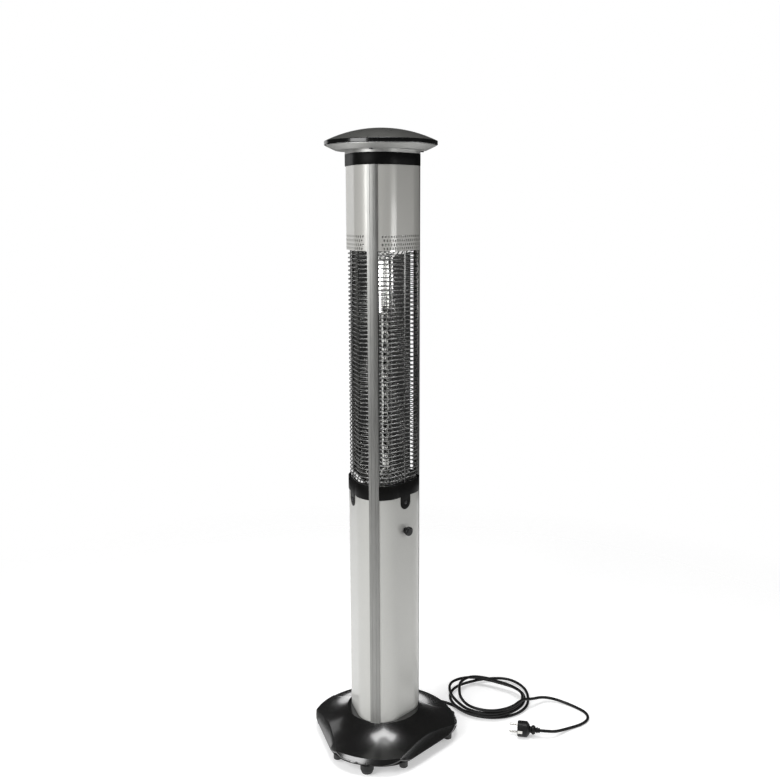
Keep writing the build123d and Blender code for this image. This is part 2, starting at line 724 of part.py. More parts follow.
def top_plate():
    return column_prism(-DECK_INSET, SHROUD_TOP - TOP_PLATE_THICK, SHROUD_TOP)


def top_band():
    return column_shell(BAND_PROUD, -BAND_INNER, SHROUD_TOP, BAND_TOP)


def neck():
    return column_shell(NECK_PROUD, -BAND_INNER, BAND_TOP, NECK_TOP)


def cap_spacers():
    """Three tubes between the top plate and the cap."""
    tube = upright(SPACER_RADIUS, SHROUD_TOP, NECK_TOP, 0, -SPACER_OUT)
    tube = tube - upright(SPACER_RADIUS / 2, SHROUD_TOP, NECK_TOP, 0, -SPACER_OUT)
    return [turned(tube, a) for a in FACES]


def cap_pan():
    """The cap's underside: a flat disc, a sloping edge and a short lip."""
    lip_out = CAP_RADIUS - CAP_RIM_WALL - SHEET_GAP
    slope = (CAP_RIM_BOTTOM - NECK_TOP) / (CAP_RADIUS - PAN_FLAT)
    bend = NECK_TOP + slope * (lip_out - PAN_FLAT)
    profile = make_face(Polyline(
        (0, NECK_TOP),
        (PAN_FLAT, NECK_TOP),
        (lip_out, bend),
        (lip_out, bend + PAN_LIP),
        (lip_out - CAP_SHEET, bend + PAN_LIP),
        (lip_out - CAP_SHEET, bend + CAP_SHEET),
        (PAN_FLAT - CAP_SHEET / 2, NECK_TOP + CAP_SHEET),
        (0, NECK_TOP + CAP_SHEET),
        close=True,
    ))
    pan = revolve(Plane.XZ * profile, Axis.Z)
    for angle in POSTS:
        spot = direction(angle) * CAP_SCREW_OUT
        pan = pan - upright(TAB_SCREW / 2 + LOOSE, NECK_TOP - 1, NECK_TOP + 5, spot.X, spot.Y)
    return pan


def cap_stiffener():
    """The ring inside the cap that the three cap screws go into."""
    bottom = NECK_TOP + CAP_SHEET
    ring = upright(CAP_SCREW_OUT + STIFFENER_WIDTH / 2, bottom, bottom + STIFFENER_THICK)
    ring = ring - upright(CAP_SCREW_OUT - STIFFENER_WIDTH / 2, bottom, bottom + STIFFENER_THICK)
    for angle in POSTS:
        spot = direction(angle) * CAP_SCREW_OUT
        ring = ring - upright(TAB_SCREW / 2 + RUNNING, bottom, bottom + STIFFENER_THICK, spot.X, spot.Y)
    return ring


def cap_screws():
    group = []
    for angle in POSTS:
        spot = direction(angle) * CAP_SCREW_OUT
        head = upright(3.6, NECK_TOP - 2, NECK_TOP, spot.X, spot.Y)
        slot = Pos(spot.X, spot.Y, NECK_TOP - 2) * Box(6, 1, 1.6)
        shank = upright(TAB_SCREW / 2, NECK_TOP, NECK_TOP + CAP_SHEET + STIFFENER_THICK, spot.X, spot.Y)
        group.append(head - slot + shank)
    return group


def cap_rim():
    """The gloss black edge of the cap."""
    inner = CAP_RADIUS - CAP_RIM_WALL
    soft = 1.2
    profile = make_face(
        Line((inner, CAP_RIM_BOTTOM), (CAP_RADIUS - soft, CAP_RIM_BOTTOM))
        + RadiusArc((CAP_RADIUS - soft, CAP_RIM_BOTTOM), (CAP_RADIUS, CAP_RIM_BOTTOM + soft), -soft)
        + Line((CAP_RADIUS, CAP_RIM_BOTTOM + soft), (CAP_RADIUS, CAP_RIM_TOP - soft))
        + RadiusArc((CAP_RADIUS, CAP_RIM_TOP - soft), (CAP_RADIUS - soft, CAP_RIM_TOP), -soft)
        + Line((CAP_RADIUS - soft, CAP_RIM_TOP), (inner, CAP_RIM_TOP))
        + Line((inner, CAP_RIM_TOP), (inner, CAP_RIM_BOTTOM))
    )
    return revolve(Plane.XZ * profile, Axis.Z)


def cap_dome():
    """A thin spun dome that rests on the rim."""
    edge = CAP_RADIUS - 1.2
    rise = CAP_TOP - CAP_RIM_TOP
    radius = (edge ** 2 + rise ** 2) / (2 * rise)
    outer = Pos(0, 0, CAP_TOP - radius) * Sphere(radius)
    inner = Pos(0, 0, CAP_TOP - radius) * Sphere(radius - CAP_SHEET)
    above = upright(CAP_RADIUS, CAP_RIM_TOP, CAP_TOP + 1)
    return (outer - inner) & above


# ---------------------------------------------------------------- knob and inner parts

def panel_front():
    return CORNER_RADIUS + CORNER_OUT / 2


def knob():
    """A mushroom knob: a stem and a round disc, with a flat-sided blind bore."""
    near = panel_front() + KNOB_STANDOFF
    stem_end = near + KNOB_STEM_LENGTH
    far = stem_end + KNOB_DISC_LENGTH
    stem = outward(KNOB_STEM / 2, near, stem_end, KNOB_HEIGHT)
    disc = outward(KNOB_DISC / 2, stem_end, far, KNOB_HEIGHT)
    disc = fillet(disc.edges().filter_by(GeomType.CIRCLE).sort_by(Axis.Y)[0], 3.0)
    disc = fillet(disc.edges().filter_by(GeomType.CIRCLE).sort_by(Axis.Y)[-1], 1.2)
    bore = outward(SHAFT_DIAMETER / 2, near, shaft_tip(), KNOB_HEIGHT)
    return disc + stem - bore


def shaft_tip():
    return panel_front() + KNOB_STANDOFF + KNOB_STEM_LENGTH + 3


def switch_shaft():
    return outward(SHAFT_DIAMETER / 2, SHAFT_BACK, shaft_tip(), KNOB_HEIGHT)


def switch_body():
    """The rotary switch: a block, a shoulder behind the panel and a threaded bushing."""
    depth = SWITCH_FRONT - SWITCH_BACK
    block = Pos(0, -(SWITCH_FRONT + SWITCH_BACK) / 2, KNOB_HEIGHT) * Box(SWITCH_SIZE, depth, SWITCH_SIZE)
    back_of_panel = panel_front() - PANEL_WALL
    shoulder = outward(SHOULDER_DIAMETER / 2, SWITCH_FRONT, back_of_panel - 0.1, KNOB_HEIGHT)
    bushing = outward(BUSHING_DIAMETER / 2, back_of_panel - 0.1, panel_front() - 0.1, KNOB_HEIGHT)
    bore = outward(SHAFT_DIAMETER / 2 + RUNNING, SHAFT_BACK - 1, panel_front(), KNOB_HEIGHT)
    return block + shoulder + bushing - bore


def inner_floor():
    return COLUMN_BOTTOM + SOCKET_FLOOR


def terminal_block():
    """The block that the mains lead and the loom are screwed into."""
    deep, wide, high = TERMINAL_SIZE
    block = Pos(lead_side(), -TERMINAL_OUT, inner_floor() + high / 2) * Box(wide, deep, high)
    return turned(block, REAR_FACE)


def tilt_switch():
    """The cut-out that opens when the tower tips."""
    out, side = TILT_PLACE
    deep, wide, high = TILT_SIZE
    return turned(Pos(side, -out, inner_floor() + high / 2) * Box(wide, deep, high), REAR_FACE)


def thermal_cutout():
    """A bracket on the upper deck with a round overheat cut-out on it."""
    deck = SHROUD_BOTTOM + DECK_THICK
    shelf = deck + CUTOUT_STANDOFF - 1.5
    body = upright(CUTOUT_RADIUS, shelf, shelf + CUTOUT_HEIGHT)
    strip = Pos(0, CUTOUT_LEG_OUT / 2, shelf + 0.75) * Box(9, CUTOUT_LEG_OUT, 1.5)
    leg = Pos(0, CUTOUT_LEG_OUT - 0.75, (deck + shelf) / 2) * Box(9, 1.5, shelf - deck)
    return body + strip + leg


def return_lead():
    """The lead that runs up the axis, between the reflectors, to the overheat cut-out."""
    bottom = LOWER_DECK_TOP - RETURN_DROP
    return upright(RETURN_LEAD / 2, bottom, SHROUD_BOTTOM + DECK_THICK + CUTOUT_STANDOFF - 1.5)


def wiring_loom():
    """The loom from the terminal block up to the lower deck, upright at both ends."""
    end = (LOOM_ROUTE[-1][0], LOOM_ROUTE[-1][1], LOWER_DECK_TOP - DECK_THICK)
    start = (LOOM_ROUTE[0][0], LOOM_ROUTE[0][1], inner_floor() + TERMINAL_SIZE[2])
    return filleted_tube((start,) + LOOM_ROUTE + (end,), LOOM_DIAMETER, "wiring_loom")


# ---------------------------------------------------------------- cord

def gland_heading():
    """The level direction in which the cord leaves the gland."""
    ahead = Vector(*LEAD_ROUTE[0]) - Vector(*GLAND_TIP)
    return Vector(ahead.X, ahead.Y, 0).normalized()


def entry_middle():
    """Where the cable entry sits, behind the gland."""
    return Vector(*GLAND_TIP) - gland_heading() * (GLAND_LENGTH + ENTRY_SIZE[0] / 2)


def entry_place():
    return Pos(entry_middle().X, entry_middle().Y, 0) * Rot(0, 0, REAR_FACE)


def lead_side():
    """How far to the side of the rear face's middle the lead comes in."""
    return entry_middle().dot(direction(REAR_FACE + 90))


def cable_entry():
    """The moulded block under the tray, with a spigot that turns the lead inwards."""
    long, wide, high = ENTRY_SIZE
    middle = Vector(entry_middle().X, entry_middle().Y, TRAY_BOTTOM - high / 2)
    block = Plane(origin=middle, x_dir=gland_heading(), z_dir=(0, 0, 1)) * Box(long, wide, high)
    square = Rectangle(ENTRY_SPIGOT, ENTRY_SPIGOT)
    spigot = entry_place() * Pos(0, 0, TRAY_BOTTOM) * extrude(square, ENTRY_SPIGOT_RISE)
    return block + spigot


def cord_gland():
    """The tapered strain relief, from the entry block to the cord."""
    tip = Vector(*GLAND_TIP)
    root = tip - gland_heading() * GLAND_LENGTH
    profile = make_face(Polyline(
        (0, 0), (GLAND_ROOT, 0), (GLAND_ROOT, 4), (GLAND_END, GLAND_LENGTH), (0, GLAND_LENGTH), close=True,
    ))
    cone = revolve(Plane.XZ * profile, Axis.Z)
    return Plane(origin=root, z_dir=gland_heading()) * cone


def mains_lead_inside():
    """The lead from the cable entry, over the weight, to the terminal block."""
    entry_face = entry_middle().dot(direction(REAR_FACE)) - ENTRY_SPIGOT / 2
    block_face = TERMINAL_OUT + TERMINAL_SIZE[0] / 2
    marks = ((entry_face, LEAD_INSIDE[0][1]),) + LEAD_INSIDE + ((block_face, LEAD_INSIDE[1][1]),)
    frame = Rot(0, 0, REAR_FACE)
    points = [tuple((frame * Pos(lead_side(), -out, up)).position) for out, up in marks]
    return filleted_tube(points, CORD_DIAMETER, "mains_lead_inside")


def coil_spot(step):
    """A point on the coil's line, placed by its distance from the coil's middle."""
    turn = COIL_STEP * step
    angle = radians(COIL_START + turn)
    reach = COIL_RADII[step]
    flat = Vector(COIL_MIDDLE[0] + reach * cos(angle), COIL_MIDDLE[1] + reach * sin(angle), 0)
    height = Vector(0, 0, COIL_FLOOR + COIL_CLIMB * turn / 360)
    return flat.rotate(Axis.Z, COIL_TURN) + height


def coil_heading(step):
    """The coil's direction at a point, taken from it and the points beside it."""
    last = len(COIL_RADII) - 1
    middle = min(max(step, 1), last - 1)
    before, here, after = [coil_spot(middle + i) for i in (-1, 0, 1)]
    if step == 0:
        return (here * 4 - before * 3 - after).normalized()
    if step == last:
        return (after * 3 + before - here * 4).normalized()
    run_in = here - before
    run_out = after - here
    heading = run_in.normalized() * run_out.length + run_out.normalized() * run_in.length
    return heading.normalized()


def joint_of_arcs(start, start_dir, end, end_dir):
    """Where two arcs meet that leave and reach two points in the given directions."""
    gap = end - start
    both = start_dir + end_dir
    a = 2 * (start_dir.dot(end_dir) - 1)
    b = -2 * gap.dot(both)
    c = gap.dot(gap)
    reach = (-b - sqrt(b * b - 4 * a * c)) / (2 * a)
    return (start + start_dir * reach + end - end_dir * reach) * 0.5


def coil_path():
    edges = []
    for step in range(len(COIL_RADII) - 1):
        start, end = coil_spot(step), coil_spot(step + 1)
        start_dir, end_dir = coil_heading(step), coil_heading(step + 1)
        middle = joint_of_arcs(start, start_dir, end, end_dir)
        first = TangentArc(start, middle, tangent=start_dir)
        second = TangentArc(middle, end, tangent=first % 1)
        edges += [first.edge(), second.edge()]
    return Wire(edges)


def coil_gap(path):
    """The least gap between the coil's turns, measured on points along its line."""
    steps = 900
    spots = [path @ (i / steps) for i in range(steps + 1)]
    turns = (len(COIL_RADII) - 1) * COIL_STEP / 360
    apart = int(steps / turns / 2)
    return min(
        (spots[i] - spots[j]).length
        for i in range(0, steps + 1, 2)
        for j in range(i + apart, steps + 1)
    ) - CORD_DIAMETER


def cord_coil():
    path = coil_path()
    print("cord_coil", "length", round(path.length, 1), "least gap", round(coil_gap(path), 2))
    start = Plane(origin=path @ 0, z_dir=path % 0)
    return sweep(start * Circle(CORD_DIAMETER / 2), path=path)


def cord_lead():
    """From the strain relief to the coil."""
    tip = Vector(*GLAND_TIP)
    first = coil_spot(0)
    heading = coil_heading(0)
    before = first - heading * LEAD_RUN
    points = [tuple(tip)] + list(LEAD_ROUTE) + [tuple(before), tuple(first)]
    return filleted_tube(points, CORD_DIAMETER, "cord_lead")


def cord_tail():
    """From the coil to the plug."""
    end = len(COIL_RADII) - 1
    last = coil_spot(end)
    after = last + coil_heading(end) * COIL_EXIT
    back = plug_plane().origin
    near = back - plug_heading() * PLUG_RUN
    points = [tuple(last), tuple(after)] + list(TAIL_ROUTE) + [tuple(near), tuple(back)]
    return filleted_tube(points, CORD_DIAMETER, "cord_tail")


def plug_heading():
    return Vector(PLUG_FRONT[0] - PLUG_BACK[0], PLUG_FRONT[1] - PLUG_BACK[1], 0).normalized()


def plug_length():
    return Vector(PLUG_FRONT[0] - PLUG_BACK[0], PLUG_FRONT[1] - PLUG_BACK[1], 0).length


def plug_plane():
    """The plug's own frame: its Z runs from the cord to the pins, its Y is up."""
    back = Vector(PLUG_BACK[0], PLUG_BACK[1], PLUG_HEIGHT)
    heading = plug_heading()
    return Plane(origin=back, x_dir=Vector(0, 0, 1).cross(heading), z_dir=heading)


def plug_body():
    """The moulded plug: ribbed relief, waist, grip and a round head."""
    front = plug_length()
    head = front - PLUG_HEAD_LENGTH
    edge = 2.0
    profile = make_face(Polyline(
        (0, 0), (5.5, 0), (6.0, 3), (4.9, 3.6), (4.9, 4.8), (6.6, 5.2), (6.6, 8), (5.2, 8.6),
        (5.2, 9.8), (8.0, 10.6), (10.6, 13.5), (10.6, 18), (7.6, 20.4), (7.6, head - 5),
        (12.5, head - 3), (PLUG_HEAD, head + 2), (PLUG_HEAD, front - edge),
        (PLUG_HEAD - edge, front), (0, front), close=True,
    ))
    body = revolve(Plane.XZ * profile, Axis.Z)
    for side in (-1, 1):
        hole = Pos(0, side * PIN_PITCH / 2, front - PIN_SEAT) * extrude(Circle(PIN_DIAMETER / 2), PIN_SEAT)
        slot = Pos(side * PLUG_HEAD, 0, front - EARTH_CLIP[2] / 2) * Box(
            2 * EARTH_CLIP[0], EARTH_CLIP[1], EARTH_CLIP[2])
        body = body - hole - slot
    return plug_plane() * body


def plug_pins():
    front = plug_length()
    pins = []
    for side in (-1, 1):
        pin = Pos(0, side * PIN_PITCH / 2, front - PIN_SEAT) * extrude(
            Circle(PIN_DIAMETER / 2), PIN_SEAT + PIN_LENGTH)
        pins.append(plug_plane() * chamfer(pin.edges().sort_by(Axis.Z)[-1], 0.8))
    return pins


def earth_clips():
    """Two side contacts, sunk in the head's flanks."""
    front = plug_length()
    clips = []
    for side in (-1, 1):
        middle = side * (PLUG_HEAD - EARTH_CLIP[0] / 2 - 0.4)
        clip = Pos(middle, 0, front - EARTH_CLIP[2] / 2 - 0.4) * Box(
            EARTH_CLIP[0] - 0.8, EARTH_CLIP[1] - 1, EARTH_CLIP[2] - 0.8)
        clips.append(plug_plane() * clip)
    return clips


def save(name, shapes):
    """Writes one node: a single solid, or a group of separate solids."""
    solids = []
    for shape in shapes if isinstance(shapes, list) else [shapes]:
        solids += shape.solids()
    whole = solids[0] if len(solids) == 1 else Compound(children=solids)
    export_step(whole, os.path.join("parts", name + ".step"))


def main():
    os.makedirs("parts", exist_ok=True)
    front, rear = base_covers()
    save("base_cover", front)
    save("rear_cover", rear)
    save("base_tray", base_tray())
    save("ballast_plate", ballast())
    save("base_screws", base_screws())
    save("base_pads", base_pads())
    save("castor_housings", [castor_housing(a) for a in POSTS])
    for side, angle in (("right", 60), ("rear", 180), ("left", -60)):
        save("castor_ball_" + side, castor_ball(angle))
        save("corner_post_" + side, corner_post(angle))
    for side, angle in (("knob_side", KNOB_FACE), ("rear_side", REAR_FACE), ("left_side", LEFT_FACE)):
        save("lower_panel_" + side, lower_panel(angle))
        save("wire_grille_" + side, wire_grille(angle))
        save("shroud_panel_" + side, shroud_panel(angle))
    save("ring_segments", [ring_segment(a) for a in FACES])
    save("ring_screws", [ring_screw(a) for a in FACES])
    save("reflectors", [reflector_sheet(a) for a in FACES])
    save("lamp_tubes", [lamp_tube(a) for a in FACES])
    save("column_socket", column_socket())
    save("lower_deck", lower_deck())
    save("upper_deck", upper_deck())
    save("lower_end_plates", [lower_end_plate(a) for a in FACES])
    save("upper_end_plates", [upper_end_plate(a) for a in FACES])
    save("lamp_filaments", [lamp_filament(a) for a in FACES])
    save("lower_lamp_sockets", [lower_socket(a) for a in FACES])
    save("upper_lamp_sockets", [upper_socket(a) for a in FACES])
    save("top_plate", top_plate())
    save("top_band", top_band())
    save("neck", neck())
    save("cap_spacers", cap_spacers())
    save("cap_pan", cap_pan())
    save("cap_stiffener", cap_stiffener())
    save("cap_screws", cap_screws())
    save("cap_rim", cap_rim())
    save("cap_dome", cap_dome())
    save("knob", knob())
    save("switch_shaft", switch_shaft())
    save("switch_body", switch_body())
    save("terminal_block", terminal_block())
    save("tilt_switch", tilt_switch())
    save("thermal_cutout", thermal_cutout())
    save("return_lead", return_lead())
    save("wiring_loom", wiring_loom())
    save("cable_entry", cable_entry())
    save("cord_gland", cord_gland())
    save("mains_lead_inside", mains_lead_inside())
    save("cord_lead", cord_lead())
    save("cord_coil", cord_coil())
    save("cord_tail", cord_tail())
    save("plug_body", plug_body())
    save("plug_pins", plug_pins())
    save("plug_earth_clips", earth_clips())


main()
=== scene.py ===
"""Looks of an infrared patio heater tower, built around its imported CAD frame."""

import json
import math

import bmesh
import bpy
from mathutils import Matrix, Vector

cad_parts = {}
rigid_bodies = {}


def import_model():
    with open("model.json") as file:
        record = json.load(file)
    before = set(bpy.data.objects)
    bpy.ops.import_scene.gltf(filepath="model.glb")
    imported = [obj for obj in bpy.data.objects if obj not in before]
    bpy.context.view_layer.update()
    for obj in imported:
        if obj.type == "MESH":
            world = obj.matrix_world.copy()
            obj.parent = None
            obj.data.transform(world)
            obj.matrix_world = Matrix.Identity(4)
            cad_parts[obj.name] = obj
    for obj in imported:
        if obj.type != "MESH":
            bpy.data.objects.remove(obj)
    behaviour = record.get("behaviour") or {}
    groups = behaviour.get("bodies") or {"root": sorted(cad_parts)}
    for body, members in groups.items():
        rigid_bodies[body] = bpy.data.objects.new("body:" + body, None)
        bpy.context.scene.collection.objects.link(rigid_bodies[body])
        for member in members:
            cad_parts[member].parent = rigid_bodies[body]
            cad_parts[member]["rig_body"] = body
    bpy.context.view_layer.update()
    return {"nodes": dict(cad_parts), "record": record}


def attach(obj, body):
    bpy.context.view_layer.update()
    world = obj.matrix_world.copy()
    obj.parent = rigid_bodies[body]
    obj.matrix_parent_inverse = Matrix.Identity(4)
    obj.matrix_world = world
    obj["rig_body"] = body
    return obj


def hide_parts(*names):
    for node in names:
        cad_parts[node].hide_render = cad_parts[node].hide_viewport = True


bl_info = {
    "name": "Patio Heater Tower",
    "version": (1, 0, 0),
    "blender": (4, 5, 0),
    "location": "View3D > Sidebar > Heater",
    "description": "Finishes and details a patio heater tower on its CAD frame",
    "category": "Object",
}

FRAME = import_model()
NODES = FRAME["nodes"]
TOWER = "tower"
FINISH_PREFIX = "heater_"
SIDES = ("knob_side", "left_side", "rear_side")
CORNERS = ("left", "rear", "right")

# Camera: where it stands in metres, its own right and up directions, and its lens in millimetres
CAMERA_PLACE = (-1.4996, -1.3918, 1.2210)
CAMERA_RIGHT = (0.67357, -0.73918, -0.00284)
CAMERA_UP = (0.14102, 0.12473, 0.98212)
CAMERA_LENS = 43.61
CAMERA_SENSOR = 36.0
CAMERA_NEAR = 0.05
CAMERA_FAR = 100.0

# Floor, in metres: it fades out towards the white world between two distances
FLOOR_REACH = 6.0
FLOOR_COLOUR = (0.86, 0.86, 0.86)
FLOOR_LIFT = 0.4
FLOOR_FADE_START = 0.7
FLOOR_FADE_END = 1.8

# Dark walls of the round studio, which only reflections show: name, start and end in degrees
# round the tower, lower and upper edge in metres; 0 degrees is in front of the knob's face
WALL_RADIUS = 1.9
WALL_TOP = 4.2
WALL_STEP = 6
CEILING_STEP = 10
DARK_WALLS = (
    ("dark_wall_front", -75.0, 150.0, 0.0, WALL_TOP),
    ("dark_wall_left", -180.0, -112.0, 0.0, WALL_TOP),
    ("dark_wall_high", 150.0, 180.0, 1.75, WALL_TOP),
    ("dark_wall_low", 150.0, 180.0, 0.0, 1.0),
    ("dark_wall_over", -112.0, -75.0, 1.6, WALL_TOP),
    ("dark_wall_under", -112.0, -75.0, 0.15, 0.8),
)

# Lights, in metres, degrees round the tower and watts; sizes are width and height
KEY_PLACE = (-2.6, 0.1, 1.9)
KEY_TARGET = (0, 0, 0.8)
KEY_SIZE = (1.6, 1.8)
TOP_PLACE = (-0.05, -0.05, 3.0)
TOP_TARGET = (-0.05, -0.05, 0.0)
TOP_SIZE = (1.1, 1.1)
LIGHT_RADIUS = 1.7
STRIP_ANGLE = 26.0
STRIP_HEIGHT = 1.08
STRIP_SIZE = (0.85, 0.33)
GLINT_HEIGHT = 0.91
FRONT_GLINT_ANGLE = -12.45
FRONT_GLINT_SIZE = (0.04, 0.18)
FRONT_GLINT_POWER = 0.4
SIDE_GLINT_ANGLE = 13.0
SIDE_GLINT_SIZE = (0.12, 0.18)
SIDE_GLINT_POWER = 0.5

# The mains cord's route, in millimetres, as in the CAD source
MM = 0.001
GLAND_TIP = (161.5, 29.8, 14.0)
LEAD_ROUTE = ((178, 12, 14), (196, -6, 8), (209, -27, 3.5), (209, -52, 3.5))
LEAD_RUN = 14.0
COIL_TURN = -47.1
COIL_MIDDLE = (265, 155)
COIL_FLOOR = 3.9
COIL_START = 222.0
COIL_STEP = 30.0
COIL_CLIMB = 8.0
COIL_RADII = (
    91, 92, 95, 99, 101, 101, 113, 101, 85, 87, 94, 97,
    98, 100, 98, 94, 92, 85, 69, 67, 82, 104, 101, 90,
    95, 103, 100, 92, 88, 75, 59, 59, 75, 83, 73, 74,
    89, 102, 102, 95,
)
COIL_EXIT = 24.0
TAIL_ROUTE = (
    (338, -191, 22),
    (374, -196, 15),
    (397, -216, 8.5),
    (405, -247, 5),
    (406, -279, 3.5),
    (400, -310, 3.5),
    (378, -329, 3.5),
    (346, -329, 3.5),
    (314, -318, 4.5),
    (287, -312, 8),
    (262, -309, 14),
)
PLUG_BACK = (234.0, -283.4, 18.6)
PLUG_FRONT = (207.3, -238.8, 18.6)
PLUG_RUN = 20.0
LOOM_ROUTE = (
    (31, 4, 60), (31, 4, 140), (24, -2, 225), (18, 6, 310), (20, 14, 395),
    (12, 22, 480), (5, 30, 560), (5, 30, 629.5),
)

# Lamp filaments, in metres: a strip that turns once in each pitch, with a round lead at each end
LAMP_ANGLES = (0.0, 120.0, 240.0)
LAMP_OUT = 0.022
FILAMENT_BOTTOM = 0.668
FILAMENT_TOP = 1.014
FILAMENT_WIDTH = 0.0078
FILAMENT_THICK = 0.0008
FILAMENT_PITCH = 0.04
FILAMENT_STEPS = 16
FILAMENT_LEAD = 0.0016

# Rounding of copied CAD forms: meshes are cleaned below these sizes, and shading is smooth
# across edges that bend less than the last one
MERGE_DISTANCE = 1e-6
FLAT_ANGLE = 0.4
SMOOTH_ANGLE = 30.0
LOOM_DIAMETER = 0.006


# ---------------------------------------------------------------- properties

def colour_property(name, description, default):
    return bpy.props.FloatVectorProperty(
        name=name, description=description, default=default, size=3, min=0.0, max=1.0, subtype="COLOR")


def length_property(name, description, default):
    return bpy.props.FloatProperty(
        name=name, description=description, default=default, min=0.0, max=0.1, precision=4,
        subtype="DISTANCE", unit="LENGTH")


def share_property(name, description, default):
    return bpy.props.FloatProperty(
        name=name, description=description, default=default, min=0.0, max=1.0, subtype="FACTOR")


class HeaterColours(bpy.types.PropertyGroup):
    """Colours that a user would change."""

    panel: colour_property(
        "Panel paint", "Light metallic paint of the lower panels", (0.53, 0.53, 0.505))
    shroud: colour_property(
        "Shroud paint", "Light metallic paint of the upper panels", (0.49, 0.485, 0.458))
    post: colour_property("Post metal", "Drawn aluminium of the corner posts", (0.27, 0.27, 0.26))
    cover: colour_property("Base cover", "Gloss black plastic of the base", (0.007, 0.007, 0.0068))
    black_paint: colour_property(
        "Black paint", "Paint of the ring and the top band", (0.0045, 0.0045, 0.0042))
    dome: colour_property("Cap dome", "Dark metallic paint of the cap", (0.10, 0.10, 0.094))
    neck: colour_property(
        "Neck metal", "Bright metal of the neck and the cap's underside", (0.50, 0.50, 0.485))
    cord: colour_property(
        "Cord", "Black rubber of the mains cord and the plug", (0.008, 0.008, 0.008))


class HeaterSizes(bpy.types.PropertyGroup):
    """Small sizes of the details."""

    cord_diameter: length_property("Cord diameter", "Outside diameter of the mains cord", 0.007)
    cover_crease: length_property("Cover crease", "How far the base cover's creases are rounded", 0.002)
    part_edge: length_property("Part edge", "Rounding of moulded and machined edges", 0.0006)


class HeaterStage(bpy.types.PropertyGroup):
    """Powers of the lights, and the strength of the even light from all round."""

    ambient: share_property("Ambient", "Strength of the even light from all round", 0.27)
    key: bpy.props.FloatProperty(
        name="Key", description="Power of the soft light at the left", default=64.0, min=0.0,
        subtype="POWER", unit="POWER")
    strip: bpy.props.FloatProperty(
        name="Strip", description="Power of the tall narrow light at the right", default=5.5, min=0.0,
        subtype="POWER", unit="POWER")
    top: bpy.props.FloatProperty(
        name="Top", description="Power of the soft light overhead", default=40.0, min=0.0,
        subtype="POWER", unit="POWER")


# ---------------------------------------------------------------- finishes

class Finish:
    """A material under construction: its surface shader and the nodes that feed it."""

    def __init__(self, name, colour, roughness, metallic=0.0, **sockets):
        self.material = bpy.data.materials.new(FINISH_PREFIX + name)
        self.material.use_nodes = True
        self.tree = self.material.node_tree
        self.shader = self.tree.nodes["Principled BSDF"]
        self.place = self.tree.nodes.new("ShaderNodeTexCoord").outputs["Object"]
        self.colour = tuple(colour)
        self.height = None
        self.shader.inputs["Base Color"].default_value = (*self.colour, 1.0)
        self.shader.inputs["Roughness"].default_value = roughness
        self.shader.inputs["Metallic"].default_value = metallic
        for socket, value in sockets.items():
            self.shader.inputs[socket.replace("_", " ")].default_value = value
        self.material.diffuse_color = (*self.colour, 1.0)
        self.material.roughness = roughness
        self.material.metallic = metallic

    def node(self, kind, **values):
        made = self.tree.nodes.new(kind)
        for key, value in values.items():
            setattr(made, key, value)
        return made

    def join(self, source, target):
        self.tree.links.new(source, target)

    def noise(self, scale, stretch=(1.0, 1.0, 1.0), detail=3.0):
        """Cloudy noise in the piece's own space; the scale is in marks per metre."""
        mapping = self.node("ShaderNodeMapping")
        mapping.inputs["Scale"].default_value = stretch
        self.join(self.place, mapping.inputs["Vector"])
        noise = self.node("ShaderNodeTexNoise")
        noise.inputs["Scale"].default_value = scale
        noise.inputs["Detail"].default_value = detail
        self.join(mapping.outputs["Vector"], noise.inputs["Vector"])
        return noise.outputs["Fac"]

    def flakes(self, scale):
        """A different random value in each small cell."""
        cells = self.node("ShaderNodeTexVoronoi")
        cells.inputs["Scale"].default_value = scale
        self.join(self.place, cells.inputs["Vector"])
        split = self.node("ShaderNodeSeparateColor")
        self.join(cells.outputs["Color"], split.inputs["Color"])
        return split.outputs["Red"]

    def bands(self, scale):
        """Regular level bands; the scale is in bands per metre."""
        wave = self.node("ShaderNodeTexWave", wave_type="BANDS", bands_direction="Z", wave_profile="SIN")
        wave.inputs["Scale"].default_value = scale * math.pi / 10
        self.join(self.place, wave.inputs["Vector"])
        return wave.outputs["Fac"]

    def spread(self, source, low, high, start=0.3, end=0.7):
        """Maps a value from one range onto another."""
        ramp = self.node("ShaderNodeMapRange")
        for key, value in (("From Min", start), ("From Max", end), ("To Min", low), ("To Max", high)):
            ramp.inputs[key].default_value = value
        self.join(source, ramp.inputs["Value"])
        return ramp.outputs["Result"]

    def colour_mix(self, **values):
        """A mix whose first colour is the one so far, and whose result is the new colour."""
        mix = self.node("ShaderNodeMix", data_type="RGBA", **values)
        target = self.shader.inputs["Base Color"]
        if target.is_linked:
            self.join(target.links[0].from_socket, mix.inputs["A"])
        else:
            mix.inputs["A"].default_value = (*self.colour, 1.0)
        self.join(mix.outputs["Result"], target)
        return mix

    def tint(self, source, low, high, start=0.3, end=0.7):
        """Multiplies the colour by a value between low and high, following the source."""
        factor = self.spread(source, low, high, start, end)
        mix = self.colour_mix(blend_type="MULTIPLY")
        mix.inputs["Factor"].default_value = 1.0
        self.join(factor, mix.inputs["B"])
        return self

    def toward(self, source, colour, start, end, most):
        """Mixes the colour towards another one, following the source."""
        factor = self.spread(source, 0.0, most, start, end)
        mix = self.colour_mix()
        self.join(factor, mix.inputs["Factor"])
        mix.inputs["B"].default_value = (*colour, 1.0)
        return self

    def gloss(self, source, low, high):
        """Lets the roughness follow the source."""
        self.join(self.spread(source, low, high), self.shader.inputs["Roughness"])
        return self

    def relief(self, source, distance, strength=1.0):
        """Adds a bump of the given depth in metres over any that is there."""
        bump = self.node("ShaderNodeBump")
        bump.inputs["Strength"].default_value = strength
        bump.inputs["Distance"].default_value = distance
        self.join(source, bump.inputs["Height"])
        if self.height is not None:
            self.join(self.height, bump.inputs["Normal"])
        self.height = bump.outputs["Normal"]
        self.join(self.height, self.shader.inputs["Normal"])
        return self


